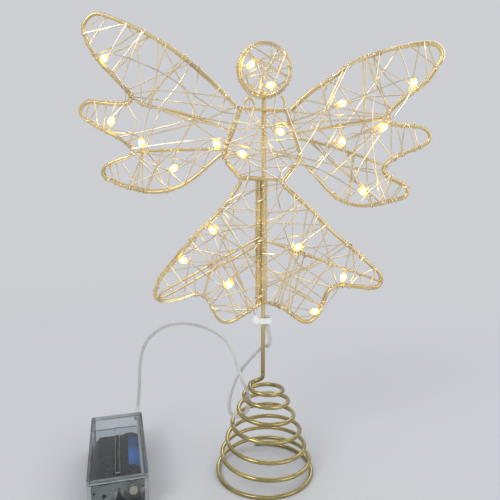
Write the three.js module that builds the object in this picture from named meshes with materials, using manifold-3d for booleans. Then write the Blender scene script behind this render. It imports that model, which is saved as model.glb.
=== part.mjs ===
// Wire angel tree topper: a flat figure of bent wire, laced with fine wire and hung with
// twenty small lamps, on a conical spring that grips the tip of the tree. A thin lead
// runs from the foot of the figure to a clear box with two cells.
// Lengths are in millimetres. X is right, Y goes away from the viewer, Z is up, and the
// origin is the middle of the spring's lowest ring, on the surface that it stands on.
import * as THREE from 'three';
import { mergeVertices } from 'three/addons/utils/BufferGeometryUtils.js';
import Module from 'manifold-3d';

const wasm = await Module();
wasm.setup();

// Wires
const FRAME_WIRE = 2;
const RIB_WIRE = 1.2;
const ROD_WIRE = 2.5;
const SUPPORT_WIRE = 2.2;
const NECK_WIRE = 1.4;
const LACE_WIRE = 0.6;
const LIGHT_WIRE = 0.7;
const GAP = 0.3;
const LACE_CLEARANCE = 0.6;

// Figure
const WAIST_HEIGHT = 175;
const LEFT_WING_REACH = 85.5;
const RIGHT_WING_REACH = 81.8;
const WING_HEIGHT = 90;
const TORSO_WIDTH = 42;
const TORSO_HEIGHT = 41;
const SKIRT_REACH = 67;
const SKIRT_DROP = 82;
const HEAD_RADIUS = 14.2;
const NECK_LENGTH = 5.4;
const HEAD_HEIGHT = WAIST_HEIGHT + TORSO_HEIGHT + NECK_LENGTH + HEAD_RADIUS;
const ROD_OFFSET = -1.1;

// Spring base
const SPRING_WIRE = 2.5;
const BASE_COIL_RADIUS = 28.6;
const SPRING_HEIGHT = 54.2;
const FLAT_CUT = 0.5;
const STEM_FOOT_HEIGHT = 62;

// Lamps
const LAMP_DIAMETER = 3.2;
const LAMP_LENGTH = 5.2;

// Lead and its tie
const LEAD_DIAMETER = 2.2;
const TIE_HEIGHT = 3.4;
const TIE_WALL = 0.8;
const TIE_DROP = 7.8;
const KNOT_WIDTH = 5.2;
const KNOT_DEPTH = 4.4;
const KNOT_HEIGHT = 6.2;

// Battery box
const BOX_X = -78.5;
const BOX_Y = -41.4;
const BOX_TURN = 15.1;
const BOX_WIDTH = 32;
const FAR_BAY = 12.7;
const BOX_HEIGHT = 21;
const BOX_WALL = 1.4;
const BOX_CORNER = 2.2;
const LIP = 0.8;
const LID_THICKNESS = 1.2;
const LID_RIB_WIDTH = 2.4;
const LID_RIB_HEIGHT = 0.7;
const GROOVE_DEPTH = 0.7;
const CELL_DIAMETER = 14.1;
const CELL_LENGTH = 50.5;
const CELL_NUB_DIAMETER = 5.4;
const CELL_NUB_LENGTH = 1.4;
const CELL_PITCH = 14.5;
const CONTACT_THICKNESS = 0.4;
const CONTACT_WIDTH = 8.6;
const CONTACT_HEIGHT = 11;
const TAB_WIDTH = 6.2;
const TAB_THICKNESS = 0.8;
const TAB_PROUD = 0.6;
const BOARD_THICKNESS = 1.6;
const BOARD_STEP = 11.5;
const BOARD_STEP_PLACE = -3;
const BOARD_LOBE_RADIUS = 4;
const BOARD_EDGE = 0.6;
const PIN_HOLE = 1.4;
const SCREW_HOLE = 2.5;
const BUTTON_DIAMETER = 4.6;
const BUTTON_FLANGE = 6.2;
const BUTTON_FLANGE_THICKNESS = 0.8;
const BUTTON_PROUD = 0.8;
const BUTTON_TRAVEL = 0.6;
const BUTTON_ACROSS = 7.9;
const BUTTON_UP = 12.8;
const INNER_LEAD_DIAMETER = 1.6;
const GLAND_SHANK = 2.8;
const GLAND_HEAD = 4.2;
const GLAND_TIP = 3;
const GLAND_HEAD_LENGTH = 3;
const LEAD_ACROSS = 13.1;
const LEAD_UP = 16.4;
const OVERRUN = 2;

// Depth layers of the flat figure, from the viewer to the back
const ROD_DEPTH = FRAME_WIRE / 2 + GAP + ROD_WIRE / 2;
const RIB_DEPTH = ROD_DEPTH - ROD_WIRE / 2 - GAP - RIB_WIRE / 2;
const LACE_STANDOFF = FRAME_WIRE / 2 + GAP + LACE_WIRE / 2;
const LACE_BEHIND_RODS = ROD_DEPTH + ROD_WIRE / 2 + GAP + LACE_WIRE / 2;
const LACE_STEP = LACE_WIRE + LACE_CLEARANCE;
const LACE_FRONT = LACE_STANDOFF + LACE_WIRE / 2;
const LIGHT_WIRE_DEPTH = -(LACE_FRONT + GAP + LIGHT_WIRE / 2);
const LAMP_DEPTH = -(LACE_FRONT + GAP + LAMP_DIAMETER / 2);

// Finishes
const finish = (color, roughness, metalness, more = {}) =>
  () => new THREE.MeshStandardMaterial({ color, roughness, metalness, ...more });
const goldPaint = finish(0xc9a24a, 0.38, 0.85);
const brassWire = finish(0xa58a4c, 0.32, 1);
const paleGold = finish(0xe6d39a, 0.35, 0.9);
const lampResin = finish(0xffe2a0, 0.2, 0, { emissive: 0xffb84a });
const clearPlastic = finish(0xb9c6c4, 0.15, 0, { transparent: true, opacity: 0.5 });
const leadVinyl = finish(0xdfe2df, 0.4, 0);
const tieNylon = finish(0xf4f4f2, 0.45, 0);
const boardLaminate = finish(0x9aa79d, 0.5, 0);
const cellSleeve = finish(0x10141c, 0.35, 0.2);
const contactSteel = finish(0xb8b9b4, 0.3, 1);
const buttonPlastic = finish(0xb9bdae, 0.35, 0);

const angel = new THREE.Group();

function addMesh(parent, name, geometry, material) {
  const mesh = new THREE.Mesh(geometry, material());
  mesh.name = name;
  parent.add(mesh);
  return mesh;
}

const at = (x, y, z) => new THREE.Vector3(x, y, z);
const smooth = (points) => new THREE.CatmullRomCurve3(points, false, 'centripetal');

// A round wire along a smooth curve.
const WIRE_SIDES = 6;

function polygon(diameter, sides) {
  const corners = [];
  for (let i = 0; i < sides; i += 1) {
    const angle = (2 * Math.PI * i) / sides;
    corners.push(new THREE.Vector2(Math.cos(angle), Math.sin(angle)).multiplyScalar(diameter / 2));
  }
  return new THREE.Shape(corners);
}

function wire(curve, diameter, steps, sides = WIRE_SIDES) {
  const options = { steps, extrudePath: curve, bevelEnabled: false };
  return new THREE.ExtrudeGeometry(polygon(diameter, sides), options);
}

// A wound wire through given points, mitred where it turns, with flat ends.
function woundWire(points, diameter, sides) {
  const count = points.length;
  const heading = (i) => points[i + 1].clone().sub(points[i]).normalize();
  const vertices = [];
  let across = null;
  for (let i = 0; i < count; i += 1) {
    const before = heading(Math.max(i - 1, 0));
    const after = heading(Math.min(i, count - 2));
    const along = before.clone().add(after).normalize();
    if (!across) across = Math.abs(along.z) < 0.9 ? at(0, 0, 1) : at(1, 0, 0);
    across = across.clone().addScaledVector(along, -across.dot(along)).normalize();
    const beside = along.clone().cross(across);
    const turn = after.clone().sub(before);
    const bend = turn.length() > 0.001 ? turn.normalize() : at(0, 0, 0);
    const stretch = 1 / Math.max(before.dot(along), 0.6) - 1;
    for (let j = 0; j < sides; j += 1) {
      const angle = (2 * Math.PI * j) / sides;
      const spoke = across.clone().multiplyScalar(Math.cos(angle) * diameter / 2);
      spoke.addScaledVector(beside, Math.sin(angle) * diameter / 2);
      spoke.addScaledVector(bend, spoke.dot(bend) * stretch);
      vertices.push(...points[i].clone().add(spoke).toArray());
    }
  }
  const faces = [];
  for (let i = 0; i + 1 < count; i += 1) {
    for (let j = 0; j < sides; j += 1) {
      const a = i * sides + j;
      const b = i * sides + ((j + 1) % sides);
      faces.push(a, b, b + sides, a, b + sides, a + sides);
    }
  }
  const last = (count - 1) * sides;
  for (let j = 1; j + 1 < sides; j += 1) {
    faces.push(0, j + 1, j, last, last + j, last + j + 1);
  }
  const geometry = new THREE.BufferGeometry();
  geometry.setAttribute('position', new THREE.Float32BufferAttribute(vertices, 3));
  geometry.setIndex(faces);
  geometry.computeVertexNormals();
  return geometry;
}

// The least gap of a wound wire to itself, measured on points along it.
function leastGap(points, diameter) {
  const path = new THREE.CurvePath();
  for (let i = 0; i + 1 < points.length; i += 1) {
    path.add(new THREE.LineCurve3(points[i], points[i + 1]));
  }
  const length = path.getLength();
  const spacing = diameter / 2;
  const samples = path.getSpacedPoints(Math.ceil(length / spacing));
  const skip = Math.ceil((3 * diameter) / spacing);
  let least = Infinity;
  for (let i = 0; i < samples.length; i += 1) {
    for (let j = i + skip; j < samples.length; j += 1) {
      least = Math.min(least, samples[i].distanceTo(samples[j]));
    }
  }
  return least - diameter;
}

function reportGap(name, points, diameter) {
  console.log(`${name}: least gap to itself ${leastGap(points, diameter).toFixed(2)} mm`);
}

// Solids that are cut or joined
function solid(geometry) {
  const bare = geometry.index ? geometry.toNonIndexed() : geometry.clone();
  for (const name of Object.keys(bare.attributes)) {
    if (name !== 'position') bare.deleteAttribute(name);
  }
  const merged = mergeVertices(bare);
  return new wasm.Manifold(new wasm.Mesh({
    numProp: 3,
    vertProperties: merged.attributes.position.array,
    triVerts: new Uint32Array(merged.index.array),
  }));
}

function geometryOf(manifold) {
  const mesh = manifold.getMesh();
  const geometry = new THREE.BufferGeometry();
  geometry.setAttribute('position', new THREE.BufferAttribute(mesh.vertProperties, 3));
  geometry.setIndex(new THREE.BufferAttribute(mesh.triVerts, 1));
  return geometry.toNonIndexed();
}

function cut(body, ...tools) {
  return geometryOf(tools.reduce((left, tool) => left.subtract(solid(tool)), solid(body)));
}

function joined(...bodies) {
  return geometryOf(bodies.slice(1).reduce((sum, body) => sum.add(solid(body)), solid(bodies[0])));
}

// A block given by its lowest and highest corner.
function block(x0, y0, z0, x1, y1, z1) {
  const geometry = new THREE.BoxGeometry(x1 - x0, y1 - y0, z1 - z0);
  return geometry.translate((x0 + x1) / 2, (y0 + y1) / 2, (z0 + z1) / 2);
}

// A turned piece: its profile is [radius, place along +Y].
function turnedAlongY(profile, segments) {
  const points = profile.map(([radius, along]) => new THREE.Vector2(radius, along));
  return new THREE.LatheGeometry(points, segments);
}

// Figure outlines, in the order in which each wire is bent. A torso or skirt point is [share
// of the width, share of the height] from the middle of the waist. A wing point is [share of
// the wing's reach out from the torso wire, share of the wing's height over the waist], and
// the wing's wire starts beside the torso wire's top end.
const leftWingShares = [
  [-0.112, 0.562], [-0.246, 0.68], [-0.328, 0.742], [-0.443, 0.819], [-0.549, 0.874],
  [-0.687, 0.934], [-0.818, 0.982], [-0.902, 0.991], [-0.965, 0.929], [-0.957, 0.867],
  [-0.923, 0.794], [-0.865, 0.713], [-0.8, 0.652], [-0.729, 0.582], [-0.676, 0.52],
  [-0.695, 0.48], [-0.75, 0.471], [-0.858, 0.479], [-0.958, 0.484], [-1, 0.44],
  [-0.982, 0.404], [-0.931, 0.374], [-0.833, 0.328], [-0.735, 0.286], [-0.633, 0.239],
  [-0.577, 0.196], [-0.6, 0.16], [-0.655, 0.144], [-0.715, 0.123], [-0.796, 0.093],
  [-0.843, 0.06], [-0.857, 0.033], [-0.823, 0.007], [-0.77, -0.019], [-0.686, -0.041],
  [-0.595, -0.058], [-0.52, -0.06], [-0.437, -0.047], [-0.334, -0.006], [-0.204, 0.059],
  [-0.061, 0.128], [0, 0.17],
];
const rightWingShares = [
  [0.131, 0.547], [0.251, 0.613], [0.389, 0.703], [0.481, 0.743], [0.536, 0.759],
  [0.647, 0.789], [0.748, 0.809], [0.877, 0.824], [0.947, 0.82], [0.992, 0.789],
  [1, 0.749], [0.965, 0.687], [0.908, 0.613], [0.817, 0.547], [0.744, 0.498],
  [0.68, 0.442], [0.64, 0.396], [0.659, 0.358], [0.802, 0.343], [0.869, 0.326],
  [0.894, 0.286], [0.872, 0.248], [0.804, 0.214], [0.667, 0.169], [0.602, 0.124],
  [0.604, 0.08], [0.67, 0.038], [0.801, -0.007], [0.835, -0.038], [0.838, -0.072],
  [0.812, -0.098], [0.713, -0.119], [0.597, -0.144], [0.51, -0.146], [0.42, -0.128],
  [0.362, -0.101], [0.302, -0.058], [0.212, 0.016], [0.102, 0.074], [0, 0.128],
];
const leftTorsoShares = [
  [-0.329, 1.005], [-0.421, 0.751], [-0.548, 0.405], [-0.521, 0.261], [-0.407, 0.129],
  [-0.331, 0.034],
];
const rightTorsoShares = [
  [0.267, 0.963], [0.362, 0.671], [0.452, 0.371], [0.414, 0.259], [0.3, 0.112], [0.219, 0.005],
];
const leftSkirtShares = [
  [-0.222, -0.015], [-0.376, -0.189], [-0.604, -0.374], [-0.794, -0.562], [-0.897, -0.663],
  [-0.949, -0.754], [-0.952, -0.806], [-0.9, -0.834], [-0.743, -0.822], [-0.599, -0.79],
  [-0.516, -0.813], [-0.47, -0.874], [-0.424, -0.951], [-0.37, -0.99], [-0.297, -0.99],
  [-0.196, -0.941], [-0.079, -0.88], [-0.03, -0.858],
];
const rightSkirtShares = [
  [0.024, -0.849], [0.137, -0.88], [0.24, -0.939], [0.328, -0.989], [0.397, -0.99],
  [0.466, -0.935], [0.51, -0.85], [0.558, -0.761], [0.64, -0.729], [0.784, -0.735],
  [0.913, -0.746], [0.979, -0.734], [1.006, -0.691], [0.982, -0.635], [0.915, -0.587],
  [0.76, -0.468], [0.6, -0.363], [0.397, -0.201], [0.284, -0.121], [0.158, -0.027],
];

// Inner ribs, in the shares of their wing or skirt
const leftUpperRibShares = [
  [0, 0.318], [-0.214, 0.384], [-0.365, 0.427], [-0.604, 0.468], [-0.651, 0.49],
];
const leftLowerRibShares = [[0, 0.199], [-0.288, 0.202], [-0.549, 0.188]];
const rightUpperRibShares = [[0, 0.3], [0.331, 0.352], [0.615, 0.392]];
const rightLowerRibShares = [[0, 0.268], [0.278, 0.2], [0.555, 0.112]];
const leftSkirtRibShares = [
  [-0.045, -0.38], [-0.5, -0.592], [-0.9, -0.781], [-0.922, -0.806], [-0.89, -0.808],
  [-0.5, -0.636], [-0.045, -0.427],
];
const rightSkirtRibShares = [[0.03, -0.415], [0.5, -0.552], [0.975, -0.69]];

const figurePoint = (across, up, width, height, depth = 0) =>
  at(across * width, depth, WAIST_HEIGHT + up * height);
const torsoPoint = (across, up, depth) => figurePoint(across, up, TORSO_WIDTH, TORSO_HEIGHT, depth);
const skirtPoint = (across, up, depth) => figurePoint(across, up, SKIRT_REACH, SKIRT_DROP, depth);

// How far across a torso wire stands at a height over the waist, level beyond its ends.
function torsoAcross(shares, height) {
  const up = height / TORSO_HEIGHT;
  const below = shares.findIndex(([, level]) => level <= up);
  if (below === 0) return shares[0][0] * TORSO_WIDTH;
  if (below < 0) return shares[shares.length - 1][0] * TORSO_WIDTH;
  const [x0, z0] = shares[below - 1];
  const [x1, z1] = shares[below];
  return (x0 + ((x1 - x0) * (z0 - up)) / (z0 - z1)) * TORSO_WIDTH;
}

// Each wing hangs on its own side's torso wire.
const leftRoot = { side: -1, torsoShares: leftTorsoShares, reach: LEFT_WING_REACH };
const rightRoot = { side: 1, torsoShares: rightTorsoShares, reach: RIGHT_WING_REACH };

function wingPoint(root, across, up, depth = 0, clear = FRAME_WIRE + GAP) {
  const height = up * WING_HEIGHT;
  const start = torsoAcross(root.torsoShares, height) + root.side * clear;
  return at(start + across * root.reach, depth, WAIST_HEIGHT + height);
}

function wingOutline(root, shares) {
  const start = torsoPoint(...root.torsoShares[0]);
  start.x += root.side * (FRAME_WIRE + GAP);
  return smooth([start, ...shares.map(([across, up]) => wingPoint(root, across, up))]);
}

const leftWing = wingOutline(leftRoot, leftWingShares);
const rightWing = wingOutline(rightRoot, rightWingShares);
const leftTorso = smooth(leftTorsoShares.map(([across, up]) => torsoPoint(across, up)));
const rightTorso = smooth(rightTorsoShares.map(([across, up]) => torsoPoint(across, up)));
const leftSkirt = smooth(leftSkirtShares.map(([across, up]) => skirtPoint(across, up)));
const rightSkirt = smooth(rightSkirtShares.map(([across, up]) => skirtPoint(across, up)));

const WING_STEPS = 112;
const TORSO_STEPS = 16;
const SKIRT_STEPS = 46;

function buildOutlines() {
  addMesh(angel, 'left_wing_frame', wire(leftWing, FRAME_WIRE, WING_STEPS), goldPaint);
  addMesh(angel, 'right_wing_frame', wire(rightWing, FRAME_WIRE, WING_STEPS), goldPaint);
  addMesh(angel, 'left_torso_frame', wire(leftTorso, FRAME_WIRE, TORSO_STEPS), goldPaint);
  addMesh(angel, 'right_torso_frame', wire(rightTorso, FRAME_WIRE, TORSO_STEPS), goldPaint);
  addMesh(angel, 'left_skirt_frame', wire(leftSkirt, FRAME_WIRE, SKIRT_STEPS), goldPaint);
  addMesh(angel, 'right_skirt_frame', wire(rightSkirt, FRAME_WIRE, SKIRT_STEPS), goldPaint);
}

// A straight wire between two points.
const straight = (start, end) => new THREE.LineCurve3(start, end);

// A bar that butts against the two torso wires at one share of their length.
function barBetween(leftPlace, rightPlace) {
  const start = leftTorso.getPoint(leftPlace);
  const end = rightTorso.getPoint(rightPlace);
  const inward = end.clone().sub(start).normalize();
  const clear = FRAME_WIRE / 2 + GAP;
  return straight(start.addScaledVector(inward, clear), end.addScaledVector(inward, -clear));
}

const SHOULDER_PLACE_SHARE = 0.012;
const WAIST_PLACE_SHARE = 0.96;
const HEAD_STEPS = 40;
const BAR_STEPS = 2;

// Neck wires, in shares of the head's radius from the head's middle
const leftNeckShares = [
  [-0.74, -1.29], [-0.71, -1.13], [-0.6, -1.035], [-0.46, -1.11], [-0.36, -1.29],
];
const rightNeckShares = [[0.67, -0.96], [0.8, -1.17], [0.78, -1.435]];

function buildHeadAndBars() {
  const ring = new THREE.CatmullRomCurve3([], false, 'centripetal');
  const opening = GAP / HEAD_RADIUS;
  for (let i = 0; i <= HEAD_STEPS; i += 1) {
    const angle = opening + ((2 * Math.PI - 2 * opening) * i) / HEAD_STEPS;
    const x = ROD_OFFSET - HEAD_RADIUS * Math.sin(angle);
    ring.points.push(at(x, 0, HEAD_HEIGHT - HEAD_RADIUS * Math.cos(angle)));
  }
  addMesh(angel, 'head_ring', wire(ring, FRAME_WIRE, HEAD_STEPS), goldPaint);
  const neck = (shares) => wire(
    smooth(shares.map(([x, z]) => at(
      ROD_OFFSET + x * HEAD_RADIUS, 0, HEAD_HEIGHT + z * HEAD_RADIUS,
    ))),
    NECK_WIRE,
    3 * shares.length,
  );
  addMesh(angel, 'left_neck_wire', neck(leftNeckShares), goldPaint);
  addMesh(angel, 'right_neck_wire', neck(rightNeckShares), goldPaint);
  const shoulder = barBetween(SHOULDER_PLACE_SHARE, SHOULDER_PLACE_SHARE);
  addMesh(angel, 'shoulder_bar', wire(shoulder, FRAME_WIRE, BAR_STEPS), goldPaint);
  const waist = barBetween(WAIST_PLACE_SHARE, WAIST_PLACE_SHARE);
  addMesh(angel, 'waist_bar', wire(waist, FRAME_WIRE, BAR_STEPS), goldPaint);
  return ring;
}

const RIB_STEPS = 10;

function buildRibs() {
  const clear = (FRAME_WIRE + RIB_WIRE) / 2 + GAP;
  const rib = (name, points, steps = RIB_STEPS) =>
    addMesh(angel, name, wire(smooth(points), RIB_WIRE, steps), goldPaint);
  const inWing = (root, shares) =>
    shares.map(([across, up]) => wingPoint(root, across, up, RIB_DEPTH, clear));
  const inSkirt = (shares) => shares.map(([across, up]) => skirtPoint(across, up, RIB_DEPTH));
  rib('left_wing_upper_rib', inWing(leftRoot, leftUpperRibShares));
  rib('left_wing_lower_rib', inWing(leftRoot, leftLowerRibShares));
  rib('right_wing_upper_rib', inWing(rightRoot, rightUpperRibShares));
  rib('right_wing_lower_rib', inWing(rightRoot, rightLowerRibShares));
  rib('left_skirt_rib', inSkirt(leftSkirtRibShares), 3 * RIB_STEPS);
  rib('right_skirt_rib', inSkirt(rightSkirtRibShares));
}

// Rods. The stem rod carries the whole figure and ends on the spring's own upright end.
const ROD_SIDES = 8;
const STEM_STEPS = 12;
const SUPPORT_STEPS = 6;
const STEM_FOOT = STEM_FOOT_HEIGHT + GAP;
const STEM_TOP = HEAD_HEIGHT - HEAD_RADIUS + FRAME_WIRE;
const HEM_HEIGHT = WAIST_HEIGHT + rightSkirtShares[0][1] * SKIRT_DROP;
const SUPPORT_FOOT = HEM_HEIGHT - FRAME_WIRE;
const SUPPORT_TOP = WAIST_HEIGHT + FRAME_WIRE;
const SUPPORT_SPACING = ROD_WIRE / 2 + SUPPORT_WIRE / 2 + 2 * GAP;

function buildRods() {
  const stem = straight(at(ROD_OFFSET, ROD_DEPTH, STEM_FOOT), at(ROD_OFFSET, ROD_DEPTH, STEM_TOP));
  addMesh(angel, 'stem_rod', wire(stem, ROD_WIRE, STEM_STEPS, ROD_SIDES), goldPaint);
  const x = ROD_OFFSET - SUPPORT_SPACING;
  const depth = FRAME_WIRE / 2 + GAP + SUPPORT_WIRE / 2;
  const support = straight(at(x, depth, SUPPORT_FOOT), at(x, depth, SUPPORT_TOP));
  addMesh(angel, 'support_rod', wire(support, SUPPORT_WIRE, SUPPORT_STEPS, ROD_SIDES), goldPaint);
}

// Conical spring. Each row is [turns from its start at the left, share of the base
// coil's radius, share of the spring's height], and the wire runs left, front, right, back.
const coilShares = [
  [0, 0.315, 1], [0.25, 0.346, 0.976], [1.25, 0.469, 0.864], [2.25, 0.577, 0.696],
  [3.25, 0.717, 0.53], [4.25, 0.818, 0.332], [5.25, 0.93, 0.174], [5.8, 0.975, 0.08],
  [6.02, 0.995, 0.014], [6.1, 1, 0], [6.78, 1, 0],
];
const COIL_STEPS = 24;
const COIL_SIDES = 6;

// The bend from the coil's start to its upright end: shares of the way from the upright
// end to the coil's start, across, in depth and down.
const bendShares = [
  [0, 0, 0], [0, 0, 0.3], [0.06, -0.05, 0.5], [0.24, -0.25, 0.67], [0.5, -0.35, 0.79],
  [0.77, -0.2, 0.88], [0.94, 0.25, 0.94],
];

const REST_HEIGHT = SPRING_WIRE / 2 - FLAT_CUT;

function coilPoint(turn) {
  let row = 1;
  while (row + 1 < coilShares.length && coilShares[row][0] < turn) row += 1;
  const [t0, r0, h0] = coilShares[row - 1];
  const [t1, r1, h1] = coilShares[row];
  const mix = (turn - t0) / (t1 - t0);
  const radius = BASE_COIL_RADIUS * (r0 + (r1 - r0) * mix);
  const height = REST_HEIGHT + (SPRING_HEIGHT - REST_HEIGHT) * (h0 + (h1 - h0) * mix);
  const angle = Math.PI + 2 * Math.PI * turn;
  return at(radius * Math.cos(angle), radius * Math.sin(angle), height);
}

function springPoints() {
  const start = coilPoint(0);
  const bend = bendShares.map(([across, deep, down]) => at(
    ROD_OFFSET + (start.x - ROD_OFFSET) * across,
    ROD_DEPTH + (start.y - ROD_DEPTH) * deep,
    STEM_FOOT_HEIGHT + (start.z - STEM_FOOT_HEIGHT) * down,
  ));
  bend.push(start);
  const points = smooth(bend).getPoints(2 * bend.length);
  const turns = coilShares[coilShares.length - 1][0];
  const steps = Math.round(turns * COIL_STEPS);
  for (let i = 1; i <= steps; i += 1) points.push(coilPoint((turns * i) / steps));
  return points;
}

function buildSpring() {
  const points = springPoints();
  reportGap('spring_base', points, SPRING_WIRE);
  const reach = BASE_COIL_RADIUS + SPRING_WIRE;
  const floor = block(-reach, -reach, -OVERRUN, reach, reach, 0);
  addMesh(angel, 'spring_base', cut(woundWire(points, SPRING_WIRE, COIL_SIDES), floor), brassWire);
}

// Lacing: one fine wire wound from edge to edge, over the front and back under the rear.
// Each row of a table is [first edge from, to, second edge from, to, loops], and the places
// on an edge are shares of the way along its outline's points.
const LACE_SIDES = 4;
const headLaceShares = [[0.4125, 0.1125, 0.5875, 0.8875, 9]];
const torsoLaceShares = [
  [0.08, 0.19, 0.08, 0.18, 3], [0.29, 0.36, 0.3, 0.48, 3], [0.51, 0.9, 0.66, 0.92, 5],
];
const leftWingLaceShares = [
  [0.0143, 0.1333, 0.9667, 0.8429, 12], [0.1476, 0.1905, 0.3333, 0.2476, 5],
  [0.4143, 0.4571, 0.5857, 0.519, 4], [0.6667, 0.7143, 0.8238, 0.781, 3],
];
const rightWingLaceShares = [
  [0.015, 0.145, 0.965, 0.83, 12], [0.165, 0.225, 0.375, 0.305, 6],
  [0.47, 0.51, 0.615, 0.55, 5],
];
const leftSkirtLaceShares = [
  [0.2824, 0.2412, 0.4882, 0.5412, 2], [0.2059, 0.1765, 0.8118, 0.9294, 5],
];
const middleSkirtLaceShares = [[0.1647, 0.0412, 0.8579, 0.9632, 9]];
const rightSkirtLaceShares = [
  [0.8316, 0.7474, 0.0737, 0.2211, 5], [0.7263, 0.6789, 0.4316, 0.5579, 2],
];

const laceFields = (first, second, shares) => shares.map(([from, to, back, on, loops]) => [
  { curve: first, from, to }, { curve: second, from: back, to: on }, loops,
]);

function edgePoint({ curve, from, to }, share) {
  const place = from + (to - from) * share;
  return { point: curve.getPoint(place), along: curve.getTangent(place) };
}

// The place beside the outline where the lacing goes round it, on the far side.
function roundOutline(here, opposite) {
  const outward = at(-here.along.z, 0, here.along.x);
  if (outward.dot(here.point.clone().sub(opposite)) < 0) outward.negate();
  return here.point.clone().addScaledVector(outward, LACE_STANDOFF);
}

function fieldPoints(first, second, loops, behind) {
  const place = (source, opposite, share) => {
    const here = edgePoint(source, share);
    return roundOutline(here, edgePoint(opposite, share).point);
  };
  const points = [];
  for (let i = 0; i < loops; i += 1) {
    const left = place(first, second, i / loops);
    const right = place(second, first, (i + 0.5) / loops);
    points.push(at(left.x, behind, left.z), at(left.x, -LACE_STANDOFF, left.z));
    points.push(at(right.x, -LACE_STANDOFF, right.z), at(right.x, behind, right.z));
  }
  return points;
}

// One strand laces a field after another and passes behind the lacing between them. Each
// field is [edge where it starts, opposite edge, loops].
function buildLacing(name, behind, fields) {
  const points = [];
  fields.forEach(([first, second, loops], i) => {
    const field = fieldPoints(first, second, loops, behind);
    if (i > 0) field[0].y += LACE_STEP;
    if (i + 1 < fields.length) field[field.length - 1].y += LACE_STEP;
    points.push(...field);
  });
  reportGap(name, points, LACE_WIRE);
  addMesh(angel, name, woundWire(points, LACE_WIRE, LACE_SIDES), paleGold);
}

function buildLacings(headRing) {
  buildLacing('head_lacing', LACE_STANDOFF, laceFields(headRing, headRing, headLaceShares));
  buildLacing('torso_lacing', LACE_BEHIND_RODS, laceFields(leftTorso, rightTorso, torsoLaceShares));
  buildLacing('left_wing_lacing', LACE_STANDOFF, laceFields(leftWing, leftWing, leftWingLaceShares));
  buildLacing('right_wing_lacing', LACE_STANDOFF, laceFields(rightWing, rightWing, rightWingLaceShares));
  buildLacing('skirt_lacing', LACE_BEHIND_RODS, [
    ...laceFields(leftSkirt, leftSkirt, leftSkirtLaceShares),
    ...laceFields(leftSkirt, rightSkirt, middleSkirtLaceShares),
    ...laceFields(rightSkirt, rightSkirt, rightSkirtLaceShares),
  ]);
}

// Lamps on one fine wire. Each stop is [the field that it lies on, share across, share up,
// lamp or not], in the order in which the wire meets it.
const onHead = (across, up, depth) =>
  at(ROD_OFFSET + across * HEAD_RADIUS, depth, HEAD_HEIGHT + up * HEAD_RADIUS);
const onLeftWing = (across, up, depth) => wingPoint(leftRoot, across, up, depth);
const onRightWing = (across, up, depth) => wingPoint(rightRoot, across, up, depth);
const onTorso = torsoPoint;
const onSkirt = skirtPoint;
const lightStopShares = [
  [onSkirt, -0.088, -0.936, 0], [onSkirt, -0.127, -0.854, 0], [onSkirt, -0.31, -0.711, 1],
  [onSkirt, -0.701, -0.54, 1], [onSkirt, -0.448, -0.329, 1], [onSkirt, -0.224, -0.102, 0],
  [onTorso, -0.226, 0.068, 0], [onTorso, -0.312, 0.377, 1], [onLeftWing, -0.041, 0.232, 1],
  [onLeftWing, -0.349, 0.084, 1], [onLeftWing, -0.528, 0.239, 1], [onLeftWing, -0.769, 0.367, 1],
  [onLeftWing, -0.706, 0.499, 0], [onLeftWing, -0.771, 0.644, 0], [onLeftWing, -0.834, 0.733, 1],
  [onLeftWing, -0.513, 0.671, 0], [onLeftWing, -0.053, 0.417, 0], [onTorso, -0.238, 0.978, 0],
  [onHead, -0.514, 0.144, 1], [onHead, 0.246, -0.6, 1], [onTorso, 0.107, 0.985, 0],
  [onTorso, 0.186, 0.669, 1], [onRightWing, 0.34, 0.472, 1], [onRightWing, 0.81, 0.589, 1],
  [onRightWing, 0.58, 0.33, 1], [onRightWing, 0.277, 0.246, 1], [onRightWing, 0.521, -0.056, 1],
  [onRightWing, 0.099, 0.093, 0], [onTorso, 0.286, 0.205, 0], [onTorso, 0.155, 0.01, 0],
  [onSkirt, 0.119, -0.171, 0], [onSkirt, 0.275, -0.446, 1], [onSkirt, 0.666, -0.659, 1],
  [onSkirt, 0.428, -0.904, 1],
];
const LIGHT_SIDES = 4;
const CURVE_STEPS = 4;
const EASE_SHARE = 0.35;

function lightStops() {
  const stops = lightStopShares.map(([field, across, up, lamp]) => ({
    place: field(across, up, lamp ? LAMP_DEPTH : LIGHT_WIRE_DEPTH),
    lamp: Boolean(lamp),
  }));
  stops.forEach((stop, i) => {
    const before = stops[Math.max(i - 1, 0)].place;
    const after = stops[Math.min(i + 1, stops.length - 1)].place;
    stop.heading = after.clone().sub(before).setY(0).normalize();
  });
  return stops;
}

function lightWirePoints(stops) {
  const half = LAMP_LENGTH / 2 + LIGHT_WIRE;
  const points = [];
  stops.forEach((stop, i) => {
    const reach = stop.lamp ? half : 0;
    const arrive = stop.place.clone().addScaledVector(stop.heading, -reach);
    const leave = stop.place.clone().addScaledVector(stop.heading, reach);
    if (i > 0) {
      const from = points[points.length - 1];
      const ease = from.distanceTo(arrive) * EASE_SHARE;
      const curve = new THREE.CubicBezierCurve3(
        from,
        from.clone().addScaledVector(stops[i - 1].heading, ease),
        arrive.clone().addScaledVector(stop.heading, -ease),
        arrive,
      );
      points.push(...curve.getPoints(CURVE_STEPS).slice(1));
    } else {
      points.push(arrive);
    }
    if (reach > 0) points.push(leave);
  });
  return points;
}

const LAMP_SEGMENTS = 8;
// The lamp's outline, in shares of its radius and of half its length
const lampShares = [[0.62, -0.92], [1, -0.3], [1, 0.35], [0.55, 0.95]];

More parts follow.
